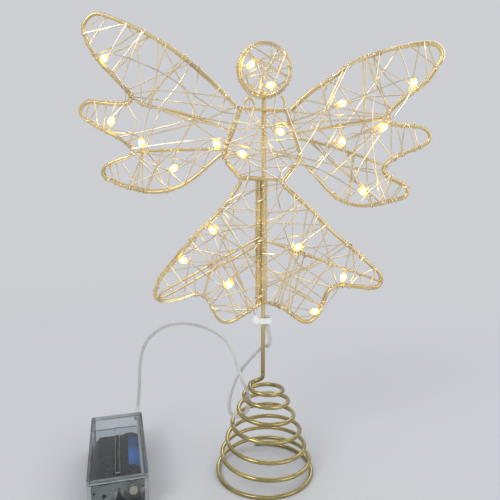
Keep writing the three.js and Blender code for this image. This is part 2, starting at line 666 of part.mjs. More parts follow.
function lampGeometry() {
  const bore = LIGHT_WIRE / 2 + GAP;
  const outline = lampShares.map(([r, a]) => [r * LAMP_DIAMETER / 2, a * LAMP_LENGTH / 2]);
  const [first] = outline;
  const end = outline[outline.length - 1];
  return turnedAlongY([[bore, first[1]], ...outline, [bore, end[1]], [bore, first[1]]], LAMP_SEGMENTS);
}

function buildLights() {
  const stops = lightStops();
  const points = lightWirePoints(stops);
  reportGap('light_wire', points, LIGHT_WIRE);
  addMesh(angel, 'light_wire', woundWire(points, LIGHT_WIRE, LIGHT_SIDES), paleGold);
  stops.filter((stop) => stop.lamp).forEach((stop, i) => {
    const name = `lamp_${String(i + 1).padStart(2, '0')}`;
    const lamp = addMesh(angel, name, lampGeometry(), lampResin);
    lamp.position.copy(stop.place);
    lamp.quaternion.setFromUnitVectors(at(0, 1, 0), stop.heading);
  });
}

// Lead. The top stretch rides with the figure, beside the stem rod and through the tie.
// The free stretch starts behind the rod and ends in the battery box's gland.
const LEAD_BESIDE_ROD = ROD_OFFSET + ROD_WIRE / 2 + GAP + LEAD_DIAMETER / 2;
const leadTopRoute = [
  [LEAD_BESIDE_ROD, ROD_DEPTH, 97], [LEAD_BESIDE_ROD, ROD_DEPTH, 90], [2.5, 2.8, 86],
  [3.2, 3.2, 82.4], [2.8, 3.8, 79], [1.6, 4.8, 77], [1.2, 6.2, 76.4], [1.2, 7.2, 76.4],
];
const leadRoute = [
  [1.2, 7.5, 76.4], [1.2, 8.7, 76.4], [-2.2, 10.8, 73.6], [-6.5, 10.6, 69.4],
  [-11, 9.2, 64.8], [-15.2, 7.4, 59.4], [-18.8, 4.6, 53], [-20.9, 2, 46.5],
  [-21.6, 0.7, 40.6], [-20.7, 0.2, 36.8], [-17.8, 0, 34.8], [-14.2, 0, 35],
  [-11.2, 0.3, 37.4], [-9.6, 0.6, 41.4], [-9.4, 0.9, 46], [-10.9, 1, 51.2],
  [-13.1, 1.4, 55.8], [-14.9, 2.6, 60.6], [-16.4, 3.8, 65.4], [-19.7, 7, 73.4],
  [-24.5, 11, 79.4], [-33, 16, 83.6], [-41.7, 20, 85.4], [-51.8, 24, 85.6],
  [-62.4, 28, 82.8], [-70.6, 31.5, 77.6], [-77.4, 35, 69.8], [-81.4, 37.6, 61],
  [-83.4, 39.6, 51.6], [-84.4, 41, 42], [-85.2, 42, 32.6], [-86, 42.4, 25],
  [-86.7, 41.6, 19.6], [-86.6, 39.4, 16.9],
];
const LEAD_SIDES = 8;
const LEAD_TOP_STEPS = 10;
const LEAD_STEPS = 62;
const LEAD_SAMPLES = 120;

function buildLead(glandFace, glandHeading) {
  const top = smooth(leadTopRoute.map((point) => at(...point)));
  addMesh(angel, 'lead_top', wire(top, LEAD_DIAMETER, LEAD_TOP_STEPS, LEAD_SIDES), leadVinyl);
  const route = leadRoute.map((point) => at(...point));
  route.push(glandFace.clone().addScaledVector(glandHeading, LEAD_DIAMETER));
  route.push(glandFace.clone().addScaledVector(glandHeading, GAP));
  const lead = smooth(route);
  const length = top.getLength() + lead.getLength();
  console.log(`lead: ${length.toFixed(1)} mm long`);
  reportGap('power_lead', lead.getSpacedPoints(LEAD_SAMPLES), LEAD_DIAMETER);
  addMesh(angel, 'power_lead', wire(lead, LEAD_DIAMETER, LEAD_STEPS, LEAD_SIDES), leadVinyl);
}

// Tie: a knotted band round the stem rod and the lead, below the support rod's foot
const TIE_MIDDLE = SUPPORT_FOOT - TIE_DROP - TIE_HEIGHT / 2;
const KNOT_SEGMENTS = 10;
const KNOT_RINGS = 8;

function buildTie() {
  const left = ROD_OFFSET - ROD_WIRE / 2 - GAP;
  const right = LEAD_BESIDE_ROD + LEAD_DIAMETER / 2 + GAP;
  const deep = ROD_WIRE / 2 + GAP;
  const low = TIE_MIDDLE - TIE_HEIGHT / 2;
  const high = TIE_MIDDLE + TIE_HEIGHT / 2;
  const band = block(
    left - TIE_WALL, ROD_DEPTH - deep - TIE_WALL, low,
    right + TIE_WALL, ROD_DEPTH + deep + TIE_WALL, high,
  );
  const hole = block(left, ROD_DEPTH - deep, low - OVERRUN, right, ROD_DEPTH + deep, high + OVERRUN);
  const knot = new THREE.SphereGeometry(1, KNOT_SEGMENTS, KNOT_RINGS);
  knot.rotateX(Math.PI / 2);
  knot.scale(KNOT_WIDTH / 2, KNOT_DEPTH / 2, KNOT_HEIGHT / 2);
  knot.translate(left - KNOT_WIDTH / 2, ROD_DEPTH - deep, TIE_MIDDLE);
  addMesh(angel, 'lead_tie', cut(joined(band, knot), hole), tieNylon);
}

// Battery box, in its own group: X across it, Y from the near end to the lead's end
const INNER_HALF = BOX_WIDTH / 2 - BOX_WALL;
const LID_TOP = BOX_HEIGHT - LIP - GAP;
const LID_BOTTOM = LID_TOP - LID_THICKNESS;
const GROOVE_TOP = BOX_HEIGHT - LIP;
const GROOVE_BOTTOM = LID_BOTTOM - GAP;
const FLANGE_PLACE = BOX_WALL + GAP;
const BOARD_PLACE = FLANGE_PLACE + BUTTON_FLANGE_THICKNESS + BUTTON_TRAVEL + GAP;
const CONTACT_PLACE = BOARD_PLACE + BOARD_THICKNESS + GAP;
const CELL_PLACE = CONTACT_PLACE + CONTACT_THICKNESS + GAP;
const BRIDGE_PLACE = CELL_PLACE + CELL_LENGTH + GAP;
const PARTITION_PLACE = BRIDGE_PLACE + CONTACT_THICKNESS + GAP;
const FAR_WALL_PLACE = PARTITION_PLACE + BOX_WALL + FAR_BAY;
const BOX_LENGTH = FAR_WALL_PLACE + BOX_WALL;
const CELL_UP = BOX_WALL + GAP + CELL_DIAMETER / 2;
const CONTACT_LOW = CELL_UP - CONTACT_HEIGHT / 2;
const BOARD_TOP = GROOVE_BOTTOM - GAP;
const TAB_UP = BOARD_TOP - BOARD_EDGE - GAP - TAB_THICKNESS / 2;
const CONTACT_ACROSS = CELL_PITCH / 2;

// A rod along the box's length.
function rodAlongBox(diameter, x, z, from, to, segments) {
  const profile = [[0, from], [diameter / 2, from], [diameter / 2, to], [0, to]];
  return turnedAlongY(profile, segments).translate(x, 0, z);
}

function roundedBlock(width, length, height, corner) {
  const shape = new THREE.Shape();
  const x = width / 2;
  shape.moveTo(-x + corner, 0);
  shape.lineTo(x - corner, 0);
  shape.quadraticCurveTo(x, 0, x, corner);
  shape.lineTo(x, length - corner);
  shape.quadraticCurveTo(x, length, x - corner, length);
  shape.lineTo(-x + corner, length);
  shape.quadraticCurveTo(-x, length, -x, length - corner);
  shape.lineTo(-x, corner);
  shape.quadraticCurveTo(-x, 0, -x + corner, 0);
  return new THREE.ExtrudeGeometry(shape, { depth: height, bevelEnabled: false, curveSegments: 3 });
}

const ROUND_SEGMENTS = 20;
const HOLE_SEGMENTS = 10;

function buildCase(box) {
  const body = roundedBlock(BOX_WIDTH, BOX_LENGTH, BOX_HEIGHT, BOX_CORNER);
  const above = BOX_HEIGHT + OVERRUN;
  const cellBay = block(-INNER_HALF, BOX_WALL, BOX_WALL, INNER_HALF, PARTITION_PLACE, above);
  const farBay = block(
    -INNER_HALF, PARTITION_PLACE + BOX_WALL, BOX_WALL,
    INNER_HALF, FAR_WALL_PLACE, above,
  );
  const grooveHalf = INNER_HALF + GROOVE_DEPTH;
  const groove = block(-grooveHalf, -OVERRUN, GROOVE_BOTTOM, grooveHalf, FAR_WALL_PLACE, GROOVE_TOP);
  const opening = block(
    -INNER_HALF, -OVERRUN, GROOVE_BOTTOM + GAP,
    INNER_HALF, FAR_WALL_PLACE, above,
  );
  const buttonHole = rodAlongBox(
    BUTTON_DIAMETER + 2 * GAP, BUTTON_ACROSS, BUTTON_UP, -OVERRUN, BOX_WALL + OVERRUN, ROUND_SEGMENTS,
  );
  const notch = INNER_LEAD_DIAMETER / 2 + GAP;
  const leadNotch = block(
    LEAD_ACROSS - notch, PARTITION_PLACE - OVERRUN, LEAD_UP - notch,
    INNER_HALF, PARTITION_PLACE + BOX_WALL + OVERRUN, above,
  );
  const glandHole = rodAlongBox(
    GLAND_SHANK + 2 * GAP, LEAD_ACROSS, LEAD_UP, FAR_WALL_PLACE - OVERRUN, BOX_LENGTH + OVERRUN,
    ROUND_SEGMENTS,
  );
  const shell = cut(body, cellBay, farBay, groove, opening, buttonHole, leadNotch, glandHole);
  addMesh(box, 'battery_case', shell, clearPlastic);
}

function buildLid(box) {
  const half = INNER_HALF + GROOVE_DEPTH - GAP;
  const lid = block(-half, 0, LID_BOTTOM, half, FAR_WALL_PLACE - GAP, LID_TOP);
  const rib = block(
    -LID_RIB_WIDTH / 2, CELL_PLACE, LID_BOTTOM,
    LID_RIB_WIDTH / 2, BRIDGE_PLACE, LID_TOP + LID_RIB_HEIGHT,
  );
  addMesh(box, 'battery_cover', joined(lid, rib), clearPlastic);
}

// Small holes in the board: [share of the half width, share of its height, diameter]
const boardHoleShares = [
  [-0.87, 0.65, PIN_HOLE], [0.02, 0.69, PIN_HOLE], [0.9, 0.72, PIN_HOLE], [-0.52, 0.53, SCREW_HOLE],
];

function buildBoard(box) {
  const half = INNER_HALF - GAP;
  const bottom = BOX_WALL + GAP;
  const back = BOARD_PLACE + BOARD_THICKNESS;
  const plate = block(-half, BOARD_PLACE, bottom, half, back, BOARD_TOP);
  const step = block(
    BOARD_STEP_PLACE, BOARD_PLACE - OVERRUN, bottom - OVERRUN, half + OVERRUN, back + OVERRUN, BOARD_STEP,
  );
  const lobe = rodAlongBox(
    2 * BOARD_LOBE_RADIUS, BUTTON_ACROSS, BUTTON_UP, BOARD_PLACE, back, ROUND_SEGMENTS,
  );
  const slot = (x) => block(
    x - TAB_WIDTH / 2 - GAP, BOARD_PLACE - OVERRUN, TAB_UP - TAB_THICKNESS / 2 - GAP,
    x + TAB_WIDTH / 2 + GAP, back + OVERRUN, TAB_UP + TAB_THICKNESS / 2 + GAP,
  );
  const holes = boardHoleShares.map(([across, up, diameter]) => rodAlongBox(
    diameter, across * half, up * BOARD_TOP, BOARD_PLACE - OVERRUN, back + OVERRUN, HOLE_SEGMENTS,
  ));
  const stepped = joined(cut(plate, step), lobe);
  const board = cut(stepped, slot(-CONTACT_ACROSS), slot(CONTACT_ACROSS), ...holes);
  addMesh(box, 'circuit_board', board, boardLaminate);
}

function buildButton(box) {
  const stem = rodAlongBox(
    BUTTON_DIAMETER, BUTTON_ACROSS, BUTTON_UP, -BUTTON_PROUD, FLANGE_PLACE, ROUND_SEGMENTS,
  );
  const flange = rodAlongBox(
    BUTTON_FLANGE, BUTTON_ACROSS, BUTTON_UP,
    FLANGE_PLACE, FLANGE_PLACE + BUTTON_FLANGE_THICKNESS, ROUND_SEGMENTS,
  );
  addMesh(box, 'push_button', joined(stem, flange), buttonPlastic);
}

function buildCells(box) {
  const body = CELL_LENGTH - CELL_NUB_LENGTH;
  const profile = [
    [0, 0], [CELL_DIAMETER / 2, 0], [CELL_DIAMETER / 2, body],
    [CELL_NUB_DIAMETER / 2, body], [CELL_NUB_DIAMETER / 2, CELL_LENGTH], [0, CELL_LENGTH],
  ];
  const left = addMesh(box, 'cell_left', turnedAlongY(profile, ROUND_SEGMENTS), cellSleeve);
  left.position.set(-CONTACT_ACROSS, CELL_PLACE, CELL_UP);
  const right = addMesh(box, 'cell_right', turnedAlongY(profile, ROUND_SEGMENTS), cellSleeve);
  right.position.set(CONTACT_ACROSS, CELL_PLACE + CELL_LENGTH, CELL_UP);
  right.rotation.z = Math.PI;
}

function buildContacts(box) {
  const high = CONTACT_LOW + CONTACT_HEIGHT;
  const plate = (x) => joined(
    block(
      x - CONTACT_WIDTH / 2, CONTACT_PLACE, CONTACT_LOW,
      x + CONTACT_WIDTH / 2, CONTACT_PLACE + CONTACT_THICKNESS, high,
    ),
    block(
      x - TAB_WIDTH / 2, CONTACT_PLACE, CONTACT_LOW + CONTACT_THICKNESS,
      x + TAB_WIDTH / 2, CONTACT_PLACE + CONTACT_THICKNESS, TAB_UP + TAB_THICKNESS / 2,
    ),
    block(
      x - TAB_WIDTH / 2, BOARD_PLACE - TAB_PROUD, TAB_UP - TAB_THICKNESS / 2,
      x + TAB_WIDTH / 2, CONTACT_PLACE + CONTACT_THICKNESS, TAB_UP + TAB_THICKNESS / 2,
    ),
  );
  addMesh(box, 'contact_left', plate(-CONTACT_ACROSS), contactSteel);
  addMesh(box, 'contact_right', plate(CONTACT_ACROSS), contactSteel);
  const bridge = block(
    -CONTACT_ACROSS - CONTACT_WIDTH / 2, BRIDGE_PLACE, CONTACT_LOW,
    CONTACT_ACROSS + CONTACT_WIDTH / 2, BRIDGE_PLACE + CONTACT_THICKNESS, high,
  );
  addMesh(box, 'cell_bridge', bridge, contactSteel);
}

function buildInnerLeadAndGland(box) {
  const lead = rodAlongBox(
    INNER_LEAD_DIAMETER, LEAD_ACROSS, LEAD_UP, CONTACT_PLACE, FAR_WALL_PLACE - 2 * GAP, LEAD_SIDES,
  );
  addMesh(box, 'inner_lead', lead, leadVinyl);
  const gland = turnedAlongY([
    [0, FAR_WALL_PLACE - GAP], [GLAND_SHANK / 2, FAR_WALL_PLACE - GAP],
    [GLAND_SHANK / 2, BOX_LENGTH + GAP], [GLAND_HEAD / 2, BOX_LENGTH + GAP],
    [GLAND_TIP / 2, BOX_LENGTH + GAP + GLAND_HEAD_LENGTH],
    [0, BOX_LENGTH + GAP + GLAND_HEAD_LENGTH],
  ], ROUND_SEGMENTS).translate(LEAD_ACROSS, 0, LEAD_UP);
  addMesh(box, 'lead_gland', gland, leadVinyl);
}

function buildBatteryBox() {
  const box = new THREE.Group();
  box.position.set(BOX_X, BOX_Y, 0);
  box.rotation.z = THREE.MathUtils.degToRad(BOX_TURN);
  angel.add(box);
  buildCase(box);
  buildLid(box);
  buildBoard(box);
  buildButton(box);
  buildCells(box);
  buildContacts(box);
  buildInnerLeadAndGland(box);
  box.updateMatrixWorld(true);
  const face = at(LEAD_ACROSS, BOX_LENGTH + GAP + GLAND_HEAD_LENGTH, LEAD_UP);
  const glandFace = face.applyMatrix4(box.matrixWorld);
  const glandHeading = at(0, 1, 0).transformDirection(box.matrixWorld);
  buildLead(glandFace, glandHeading);
}

buildOutlines();
const headRing = buildHeadAndBars();
buildRibs();
buildRods();
buildSpring();
buildLacings(headRing);
buildLights();
buildTie();
buildBatteryBox();

export default angel;
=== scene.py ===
"""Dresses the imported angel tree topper: round bent wires, random lacing, lit lamps, a sprung
cone, a clear box with two cells, and the twin lead between them."""
import math
import random

import bmesh
import bpy
import numpy as np
from mathutils import Matrix, Vector


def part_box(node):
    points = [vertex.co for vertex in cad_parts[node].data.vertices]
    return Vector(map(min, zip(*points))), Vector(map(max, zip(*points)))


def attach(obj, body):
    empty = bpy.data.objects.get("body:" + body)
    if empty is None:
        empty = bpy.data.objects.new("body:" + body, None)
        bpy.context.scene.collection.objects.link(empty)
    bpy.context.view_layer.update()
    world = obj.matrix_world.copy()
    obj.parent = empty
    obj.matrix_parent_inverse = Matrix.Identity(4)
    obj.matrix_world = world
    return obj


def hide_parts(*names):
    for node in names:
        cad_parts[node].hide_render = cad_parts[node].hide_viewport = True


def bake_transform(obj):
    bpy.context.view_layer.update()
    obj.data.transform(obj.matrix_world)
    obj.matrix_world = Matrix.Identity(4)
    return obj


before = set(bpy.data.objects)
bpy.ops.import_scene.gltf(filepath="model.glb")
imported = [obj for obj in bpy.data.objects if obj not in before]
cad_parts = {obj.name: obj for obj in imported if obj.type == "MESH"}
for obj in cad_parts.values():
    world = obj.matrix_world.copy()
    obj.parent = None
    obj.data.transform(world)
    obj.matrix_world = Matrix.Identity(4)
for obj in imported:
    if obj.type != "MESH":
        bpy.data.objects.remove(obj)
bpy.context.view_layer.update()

bl_info = {
    "name": "Angel Tree Topper",
    "version": (1, 0, 0),
    "blender": (4, 5, 0),
    "location": "3D Viewport > Sidebar > Angel Topper",
    "description": "Builds a laced wire angel tree topper with pin lights around its packed frame",
    "category": "Object",
}

MM = 0.001
FULL_TURN = 2 * math.pi
FIGURE = "figure"
BASE = "base"


# Settings

def length_setting(name, description, millimetres):
    return bpy.props.FloatProperty(
        name=name, description=description, default=millimetres * MM, unit="LENGTH")


def colour_setting(name, description, default):
    return bpy.props.FloatVectorProperty(
        name=name, description=description, default=default, subtype="COLOR", size=3)


class WireSettings(bpy.types.PropertyGroup):
    frame_wire: length_setting("Frame wire", "Diameter of the outline wires", 2.0)
    rib_wire: length_setting("Rib wire", "Diameter of the ribs", 1.3)
    neck_wire: length_setting("Neck wire", "Diameter of the neck wires", 1.4)
    rod_wire: length_setting("Stem rod", "Diameter of the stem rod", 2.5)
    support_wire: length_setting("Support rod", "Diameter of the support rod", 2.2)
    spring_wire: length_setting("Spring wire", "Diameter of the coiled wire", 2.5)
    gold: colour_setting("Gold", "Colour of the painted wires", (0.83, 0.66, 0.33))
    brass: colour_setting("Brass", "Colour of the coiled wire", (0.42, 0.345, 0.15))


class LacingSettings(bpy.types.PropertyGroup):
    strand: length_setting("Strand", "Diameter of the lacing wire", 0.78)
    wave: length_setting("Wave", "How far a strand bends off its straight way", 0.35)
    seed: bpy.props.IntProperty(name="Seed", description="Pattern of the small bends", default=7)
    colour: colour_setting("Pale gold", "Colour of the lacing wire", (0.92, 0.78, 0.53))


class LampSettings(bpy.types.PropertyGroup):
    length: length_setting("Length", "Length of a lamp's resin drop", 6.0)
    diameter: length_setting("Diameter", "Diameter of a lamp's resin drop", 3.3)
    wire: length_setting("Light wire", "Diameter of one light wire", 0.42)
    glow: colour_setting("Glow", "Colour of the light", (1.0, 0.6, 0.05))
    strength: bpy.props.FloatProperty(
        name="Strength", description="Strength of the light at a lamp's middle", default=9.0)


class LeadSettings(bpy.types.PropertyGroup):
    width: length_setting("Width", "Width of the twin lead", 2.4)
    thickness: length_setting("Thickness", "Thickness of the twin lead", 1.4)
    colour: colour_setting("Vinyl", "Colour of the lead", (0.63, 0.62, 0.6))


class BoxSettings(bpy.types.PropertyGroup):
    edge: length_setting("Edge", "Rounding of the moulded edges", 0.35)
    clear: colour_setting("Clear plastic", "Tint of the clear plastic", (0.84, 0.87, 0.88))
    sleeve: colour_setting("Cell sleeve", "Colour of the cells", (0.003, 0.003, 0.005))
    band: colour_setting("Cell band", "Colour of the plain band on one cell", (0.03, 0.16, 0.52))
    board: colour_setting("Board", "Colour of the circuit board", (0.36, 0.41, 0.37))


class StageSettings(bpy.types.PropertyGroup):
    floor: colour_setting("Floor", "Colour of the floor and backdrop", (0.61, 0.62, 0.645))
    world: bpy.props.FloatProperty(
        name="Sky", description="Strength of the even light", default=0.75)


def settings(name):
    return getattr(bpy.context.scene, "angel_" + name)


# Node helpers

def feed(tree, node, inputs):
    """Links a node's inputs to the outputs given for them, and sets the others to their values."""
    for name, value in inputs.items():
        if isinstance(value, bpy.types.NodeSocket):
            tree.links.new(value, node.inputs[name])
        else:
            node.inputs[name].default_value = value


def add(tree, kind, inputs=None, output=0, **options):
    """A new node with its options and inputs set. Gives back the one output that is used."""
    node = tree.nodes.new(kind)
    for name, value in options.items():
        setattr(node, name, value)
    feed(tree, node, inputs or {})
    return node.outputs[output]


def new_material(name):
    made = bpy.data.materials.new(name)
    made.use_nodes = True
    return made, made.node_tree, made.node_tree.nodes["Principled BSDF"]


def noise(tree, scale, detail):
    """Noise on Object coordinates."""
    return add(tree, "ShaderNodeTexNoise", {
        "Vector": add(tree, "ShaderNodeTexCoord", output="Object"),
        "Scale": scale, "Detail": detail, "Roughness": NOISE_ROUGHNESS,
    }, "Fac")


def ramp(tree, value, stops):
    """Colours or grey values along a value, as place and colour."""
    node = tree.nodes.new("ShaderNodeValToRGB")
    elements = node.color_ramp.elements
    while len(elements) < len(stops):
        elements.new(0.5)
    for element, (place_at, colour) in zip(elements, stops):
        element.position = place_at
        element.color = (*colour, 1)
    feed(tree, node, {"Fac": value})
    return node.outputs["Color"]


def cloudy(tree, scale, detail, low, high, start=0.3, end=0.7):
    """A colour that wanders between two."""
    return ramp(tree, noise(tree, scale, detail), [(start, low), (end, high)])


def bump(tree, scale, detail, strength, depth):
    return add(tree, "ShaderNodeBump", {
        "Height": noise(tree, scale, detail), "Strength": strength, "Distance": depth,
    }, "Normal")


def map_range(tree, value, low, high, inputs=None, **options):
    return add(tree, "ShaderNodeMapRange", {
        "Value": value, "From Min": low, "From Max": high, **(inputs or {})}, "Result", **options)


def maths(tree, operation, *values):
    return add(tree, "ShaderNodeMath", dict(enumerate(values)), operation=operation)


# The colour inputs and the colour output of a Mix node, by number: its sockets share their names
MIX_A, MIX_B, MIX_OUT = 6, 7, 2


def mix_colours(tree, share, first, second):
    return add(tree, "ShaderNodeMix", {
        "Factor": share, MIX_A: first, MIX_B: second}, MIX_OUT, data_type="RGBA")


def mix_shaders(tree, share, first, second, end):
    """Sends a mix of two shaders to the end node's surface."""
    mix = add(tree, "ShaderNodeMixShader", {"Fac": share, 1: first, 2: second}, "Shader")
    feed(tree, tree.nodes[end], {"Surface": mix})


def grey(value):
    return (value, value, value)


def shade(colour, factor):
    return tuple(min(1.0, c * factor) for c in colour)


# Materials

NOISE_ROUGHNESS = 0.55
MARK_DEPTH = 0.08 * MM
GRAIN_DEPTH = 0.06 * MM
WARP_DEPTH = 0.05 * MM
CLEAR_IOR = 1.33
# The gold paint's darkest and lightest tone, as shares of its colour, and its roughness
GOLD_WEAR = (0.78, 1.2, 0.26, 0.42)


def metal_wire(name, colour, dark, light, rough_low, rough_high):
    """A wire's finish: uneven paint or tarnish, worn bright places and fine drawn marks."""
    made, tree, shader = new_material(name)
    feed(tree, shader, {
        "Base Color": ramp(tree, noise(tree, 70, 4), [
            (0.3, shade(colour, dark)), (0.5, colour), (0.72, shade(colour, light))]),
        "Roughness": cloudy(tree, 220, 3, grey(rough_low), grey(rough_high)),
        "Metallic": 1.0,
        "Normal": bump(tree, 900, 4, 0.25, MARK_DEPTH),
    })
    return made


def stem_paint(name, gold, brass):
    """The long rod's finish: gold paint that fades into the spring's brass down to its foot."""
    made = metal_wire(name, gold, *GOLD_WEAR)
    tree = made.node_tree
    shader = tree.nodes["Principled BSDF"]
    place_at = add(tree, "ShaderNodeTexCoord", output="Object")
    height = add(tree, "ShaderNodeSeparateXYZ", {"Vector": place_at}, "Z")
    rise = map_range(tree, height, STEM_FOOT, PAINT_FROM, interpolation_type="SMOOTHSTEP")
    paint = shader.inputs["Base Color"].links[0].from_socket
    feed(tree, shader, {"Base Color": mix_colours(tree, rise, (*brass, 1), paint)})
    return made


def vinyl(name, colour, rough):
    made, tree, shader = new_material(name)
    feed(tree, shader, {
        "Base Color": cloudy(tree, 160, 3, shade(colour, 0.93), shade(colour, 1.04)),
        "Roughness": cloudy(tree, 400, 2, grey(rough - 0.06), grey(rough + 0.08)),
        "Subsurface Weight": 0.25,
        "Subsurface Radius": (MM, MM, MM),
        "Subsurface Scale": 0.6,
        "Coat Weight": 0.35,
        "Coat Roughness": 0.2,
        "Normal": bump(tree, 700, 3, 0.12, MARK_DEPTH),
    })
    return made


def clear_plastic(name, tint):
    made, tree, shader = new_material(name)
    feed(tree, shader, {
        "Base Color": cloudy(tree, 60, 2, shade(tint, 0.97), tint, 0.35, 0.65),
        "Roughness": cloudy(tree, 240, 4, grey(0.02), grey(0.07), 0.4, 0.75),
        "Transmission Weight": 1.0,
        "IOR": CLEAR_IOR,
        "Specular IOR Level": 0.22,
        "Normal": bump(tree, 60, 2, 0.01, WARP_DEPTH),
    })
    return made


def painted_glow_plastic(name, tint):
    """Painted glow where a clear wall is seen end on: a milky colour for the light it gathers."""
    made, tree, shader = new_material(name)
    feed(tree, shader, {
        "Base Color": cloudy(tree, 200, 3, shade(tint, 0.46), shade(tint, 0.6)),
        "Transmission Weight": 0.25,
        "Roughness": 0.3,
        "IOR": CLEAR_IOR,
    })
    return made


def lamp_resin(name, glow, strength):
    """A lit resin drop: cream white over the chip, amber towards its ends."""
    made, tree, shader = new_material(name)
    lit = add(tree, "ShaderNodeAttribute", output="Fac", attribute_name="lit_share")
    feed(tree, shader, {
        "Base Color": ramp(tree, lit, [(0.0, (0.62, 0.36, 0.12)), (0.6, (1.0, 0.72, 0.36))]),
        "Emission Color": ramp(tree, lit, [
            (0.0, (1.0, 0.34, 0.03)), (0.5, glow),
            (0.8, (1.0, 0.68, 0.07)), (1.0, (1.0, 0.76, 0.14))]),
        "Emission Strength": map_range(tree, lit, 0.0, 1.0, {"To Min": 0.8, "To Max": strength}),
        "Roughness": 0.12,
        "IOR": 1.5,
    })
    return made


def moulded(name, colour, rough):
    made, tree, shader = new_material(name)
    feed(tree, shader, {
        "Base Color": cloudy(tree, 120, 3, shade(colour, 0.92), shade(colour, 1.06)),
        "Roughness": cloudy(tree, 300, 3, grey(rough - 0.05), grey(rough + 0.07)),
        "Normal": bump(tree, 500, 4, 0.2, GRAIN_DEPTH),
    })
    return made


def cell_sleeve(name, sleeve, band=None):
    """A plain dark sleeve between steel ends, with one plain panel where a band is given."""
    made, tree, shader = new_material(name)
    along = add(tree, "ShaderNodeAttribute", output="Fac", attribute_name="along")
    steel = (0.62, 0.6, 0.56)
    colour = ramp(tree, along, [
        (0.0, steel), (0.006, steel), (0.012, sleeve), (0.955, sleeve), (0.962, steel)])
    if band is not None:
        panel = ramp(tree, along, [
            (0.05, sleeve), (0.06, shade(band, 0.35)), (0.3, shade(band, 0.6)),
            (0.52, shade(band, 1.5)), (0.74, band), (0.75, sleeve)])
        outer = add(tree, "ShaderNodeAttribute", output="Fac", attribute_name="outer")
        # The panel's reach: from 0.04 to 0.76 of the length, on the side that faces out
        beside = map_range(tree, outer, -0.18, -0.14)
        inside = maths(tree, "COMPARE", along, 0.4, 0.36)
        colour = mix_colours(tree, maths(tree, "MULTIPLY", beside, inside), colour, panel)
    feed(tree, shader, {
        "Base Color": colour,
        "Metallic": ramp(tree, along, [
            (0.0, grey(1)), (0.008, grey(1)), (0.012, grey(0)), (0.955, grey(0)),
            (0.962, grey(1))]),
        "Roughness": cloudy(tree, 300, 3, grey(0.24), grey(0.38)),
        "Specular IOR Level": 0.08,
        "Normal": bump(tree, 250, 3, 0.03, GRAIN_DEPTH),
    })
    return made


MATERIALS = {}


def material(name):
    """The finish of that name, made when it is first asked for."""
    if name in MATERIALS:
        return MATERIALS[name]
    wires, lacing, lamps = settings("wires"), settings("lacing"), settings("lamps")
    box, lead = settings("box"), settings("lead")
    makers = {
        "gold_paint": lambda: metal_wire("Gold paint", wires.gold, *GOLD_WEAR),
        "stem_paint": lambda: stem_paint("Stem paint", wires.gold, wires.brass),
        "brass_wire": lambda: metal_wire("Brass wire", wires.brass, 0.7, 1.3, 0.16, 0.3),
        "pale_gold": lambda: metal_wire("Pale gold wire", lacing.colour, 0.82, 1.12, 0.28, 0.44),
        "light_wire": lambda: metal_wire("Light wire", (0.78, 0.7, 0.55), 0.85, 1.1, 0.18, 0.3),
        "resin": lambda: lamp_resin("Lit resin", lamps.glow, lamps.strength),
        "lead": lambda: vinyl("Lead vinyl", lead.colour, 0.34),
        "nylon": lambda: vinyl("Tie nylon", (0.9, 0.9, 0.88), 0.42),
        "clear": lambda: clear_plastic("Clear plastic", box.clear),
        # The clear plastic's wall ends, with a painted glow for the light that they gather
        "painted_edge_glow": lambda: painted_glow_plastic("Frosted plastic edge", box.clear),
        "board": lambda: moulded("Board laminate", box.board, 0.5),
        "button": lambda: moulded("Button plastic", (0.27, 0.28, 0.23), 0.34),
        "contact": lambda: metal_wire("Plated contact", (0.2, 0.2, 0.18), 0.7, 1.2, 0.24, 0.4),
        "bridge": lambda: metal_wire("Bright plate", (0.72, 0.7, 0.64), 0.85, 1.1, 0.2, 0.34),
        "plain_cell": lambda: cell_sleeve("Plain cell", box.sleeve),
        "banded_cell": lambda: cell_sleeve("Banded cell", box.sleeve, box.band),
    }
    MATERIALS[name] = makers[name]()
    return MATERIALS[name]


# Curves and meshes

WIRE_SHARP_ANGLE = 50
OUTLINE_SIDES = 12
RIB_SIDES = 10
ROD_SIDES = 14
SPRING_SIDES = 16
FINE_SIDES = 6


def smooth(points, step):
    """Points a step apart along a centripetal Catmull-Rom curve through the given points."""
    knots = [Vector(p) for p in points]
    knots = [2 * knots[0] - knots[1], *knots, 2 * knots[-1] - knots[-2]]
    line = [knots[1]]
    for p0, p1, p2, p3 in zip(knots, knots[1:], knots[2:], knots[3:]):
        gap01, gap12, gap23 = (
            max((b - a).length ** 0.5, 1e-6) for a, b in ((p0, p1), (p1, p2), (p2, p3)))
        out = (p1 - p0) / gap01 - (p2 - p0) / (gap01 + gap12) + (p2 - p1) / gap12
        into = (p2 - p1) / gap12 - (p3 - p1) / (gap12 + gap23) + (p3 - p2) / gap23
        out *= gap12
        into *= gap12
        count = max(1, round((p2 - p1).length / step))
        for i in range(1, count + 1):
            t = i / count
            line.append(
                p1 + out * t + (3 * (p2 - p1) - 2 * out - into) * t * t
                + (2 * (p1 - p2) + out + into) * t ** 3)
    return line


def way_at(line, i):
    """The way that a line runs at one of its points."""
    return line[min(i + 1, len(line) - 1)] - line[max(i - 1, 0)]


def new_mesh(name, points, edges=(), faces=()):
    mesh = bpy.data.meshes.new(name)
    mesh.from_pydata(points, edges, faces)
    return mesh


def ring_quads(rings, sides, first=0):
    """Corners of the faces between neighbouring rings of points, in order round each face."""
    for ring in range(rings - 1):
        for k in range(sides):
            a = first + ring * sides + k
            b = first + ring * sides + (k + 1) % sides
            yield a, b, b + sides, a + sides


def set_attribute(mesh, name, kind, values):
    field = "vector" if kind == "FLOAT_VECTOR" else "value"
    mesh.attributes.new(name, kind, "POINT").data.foreach_set(field, values)


def link_object(name, data):
    made = bpy.data.objects.new(name, data)
    bpy.context.scene.collection.objects.link(made)
    return made


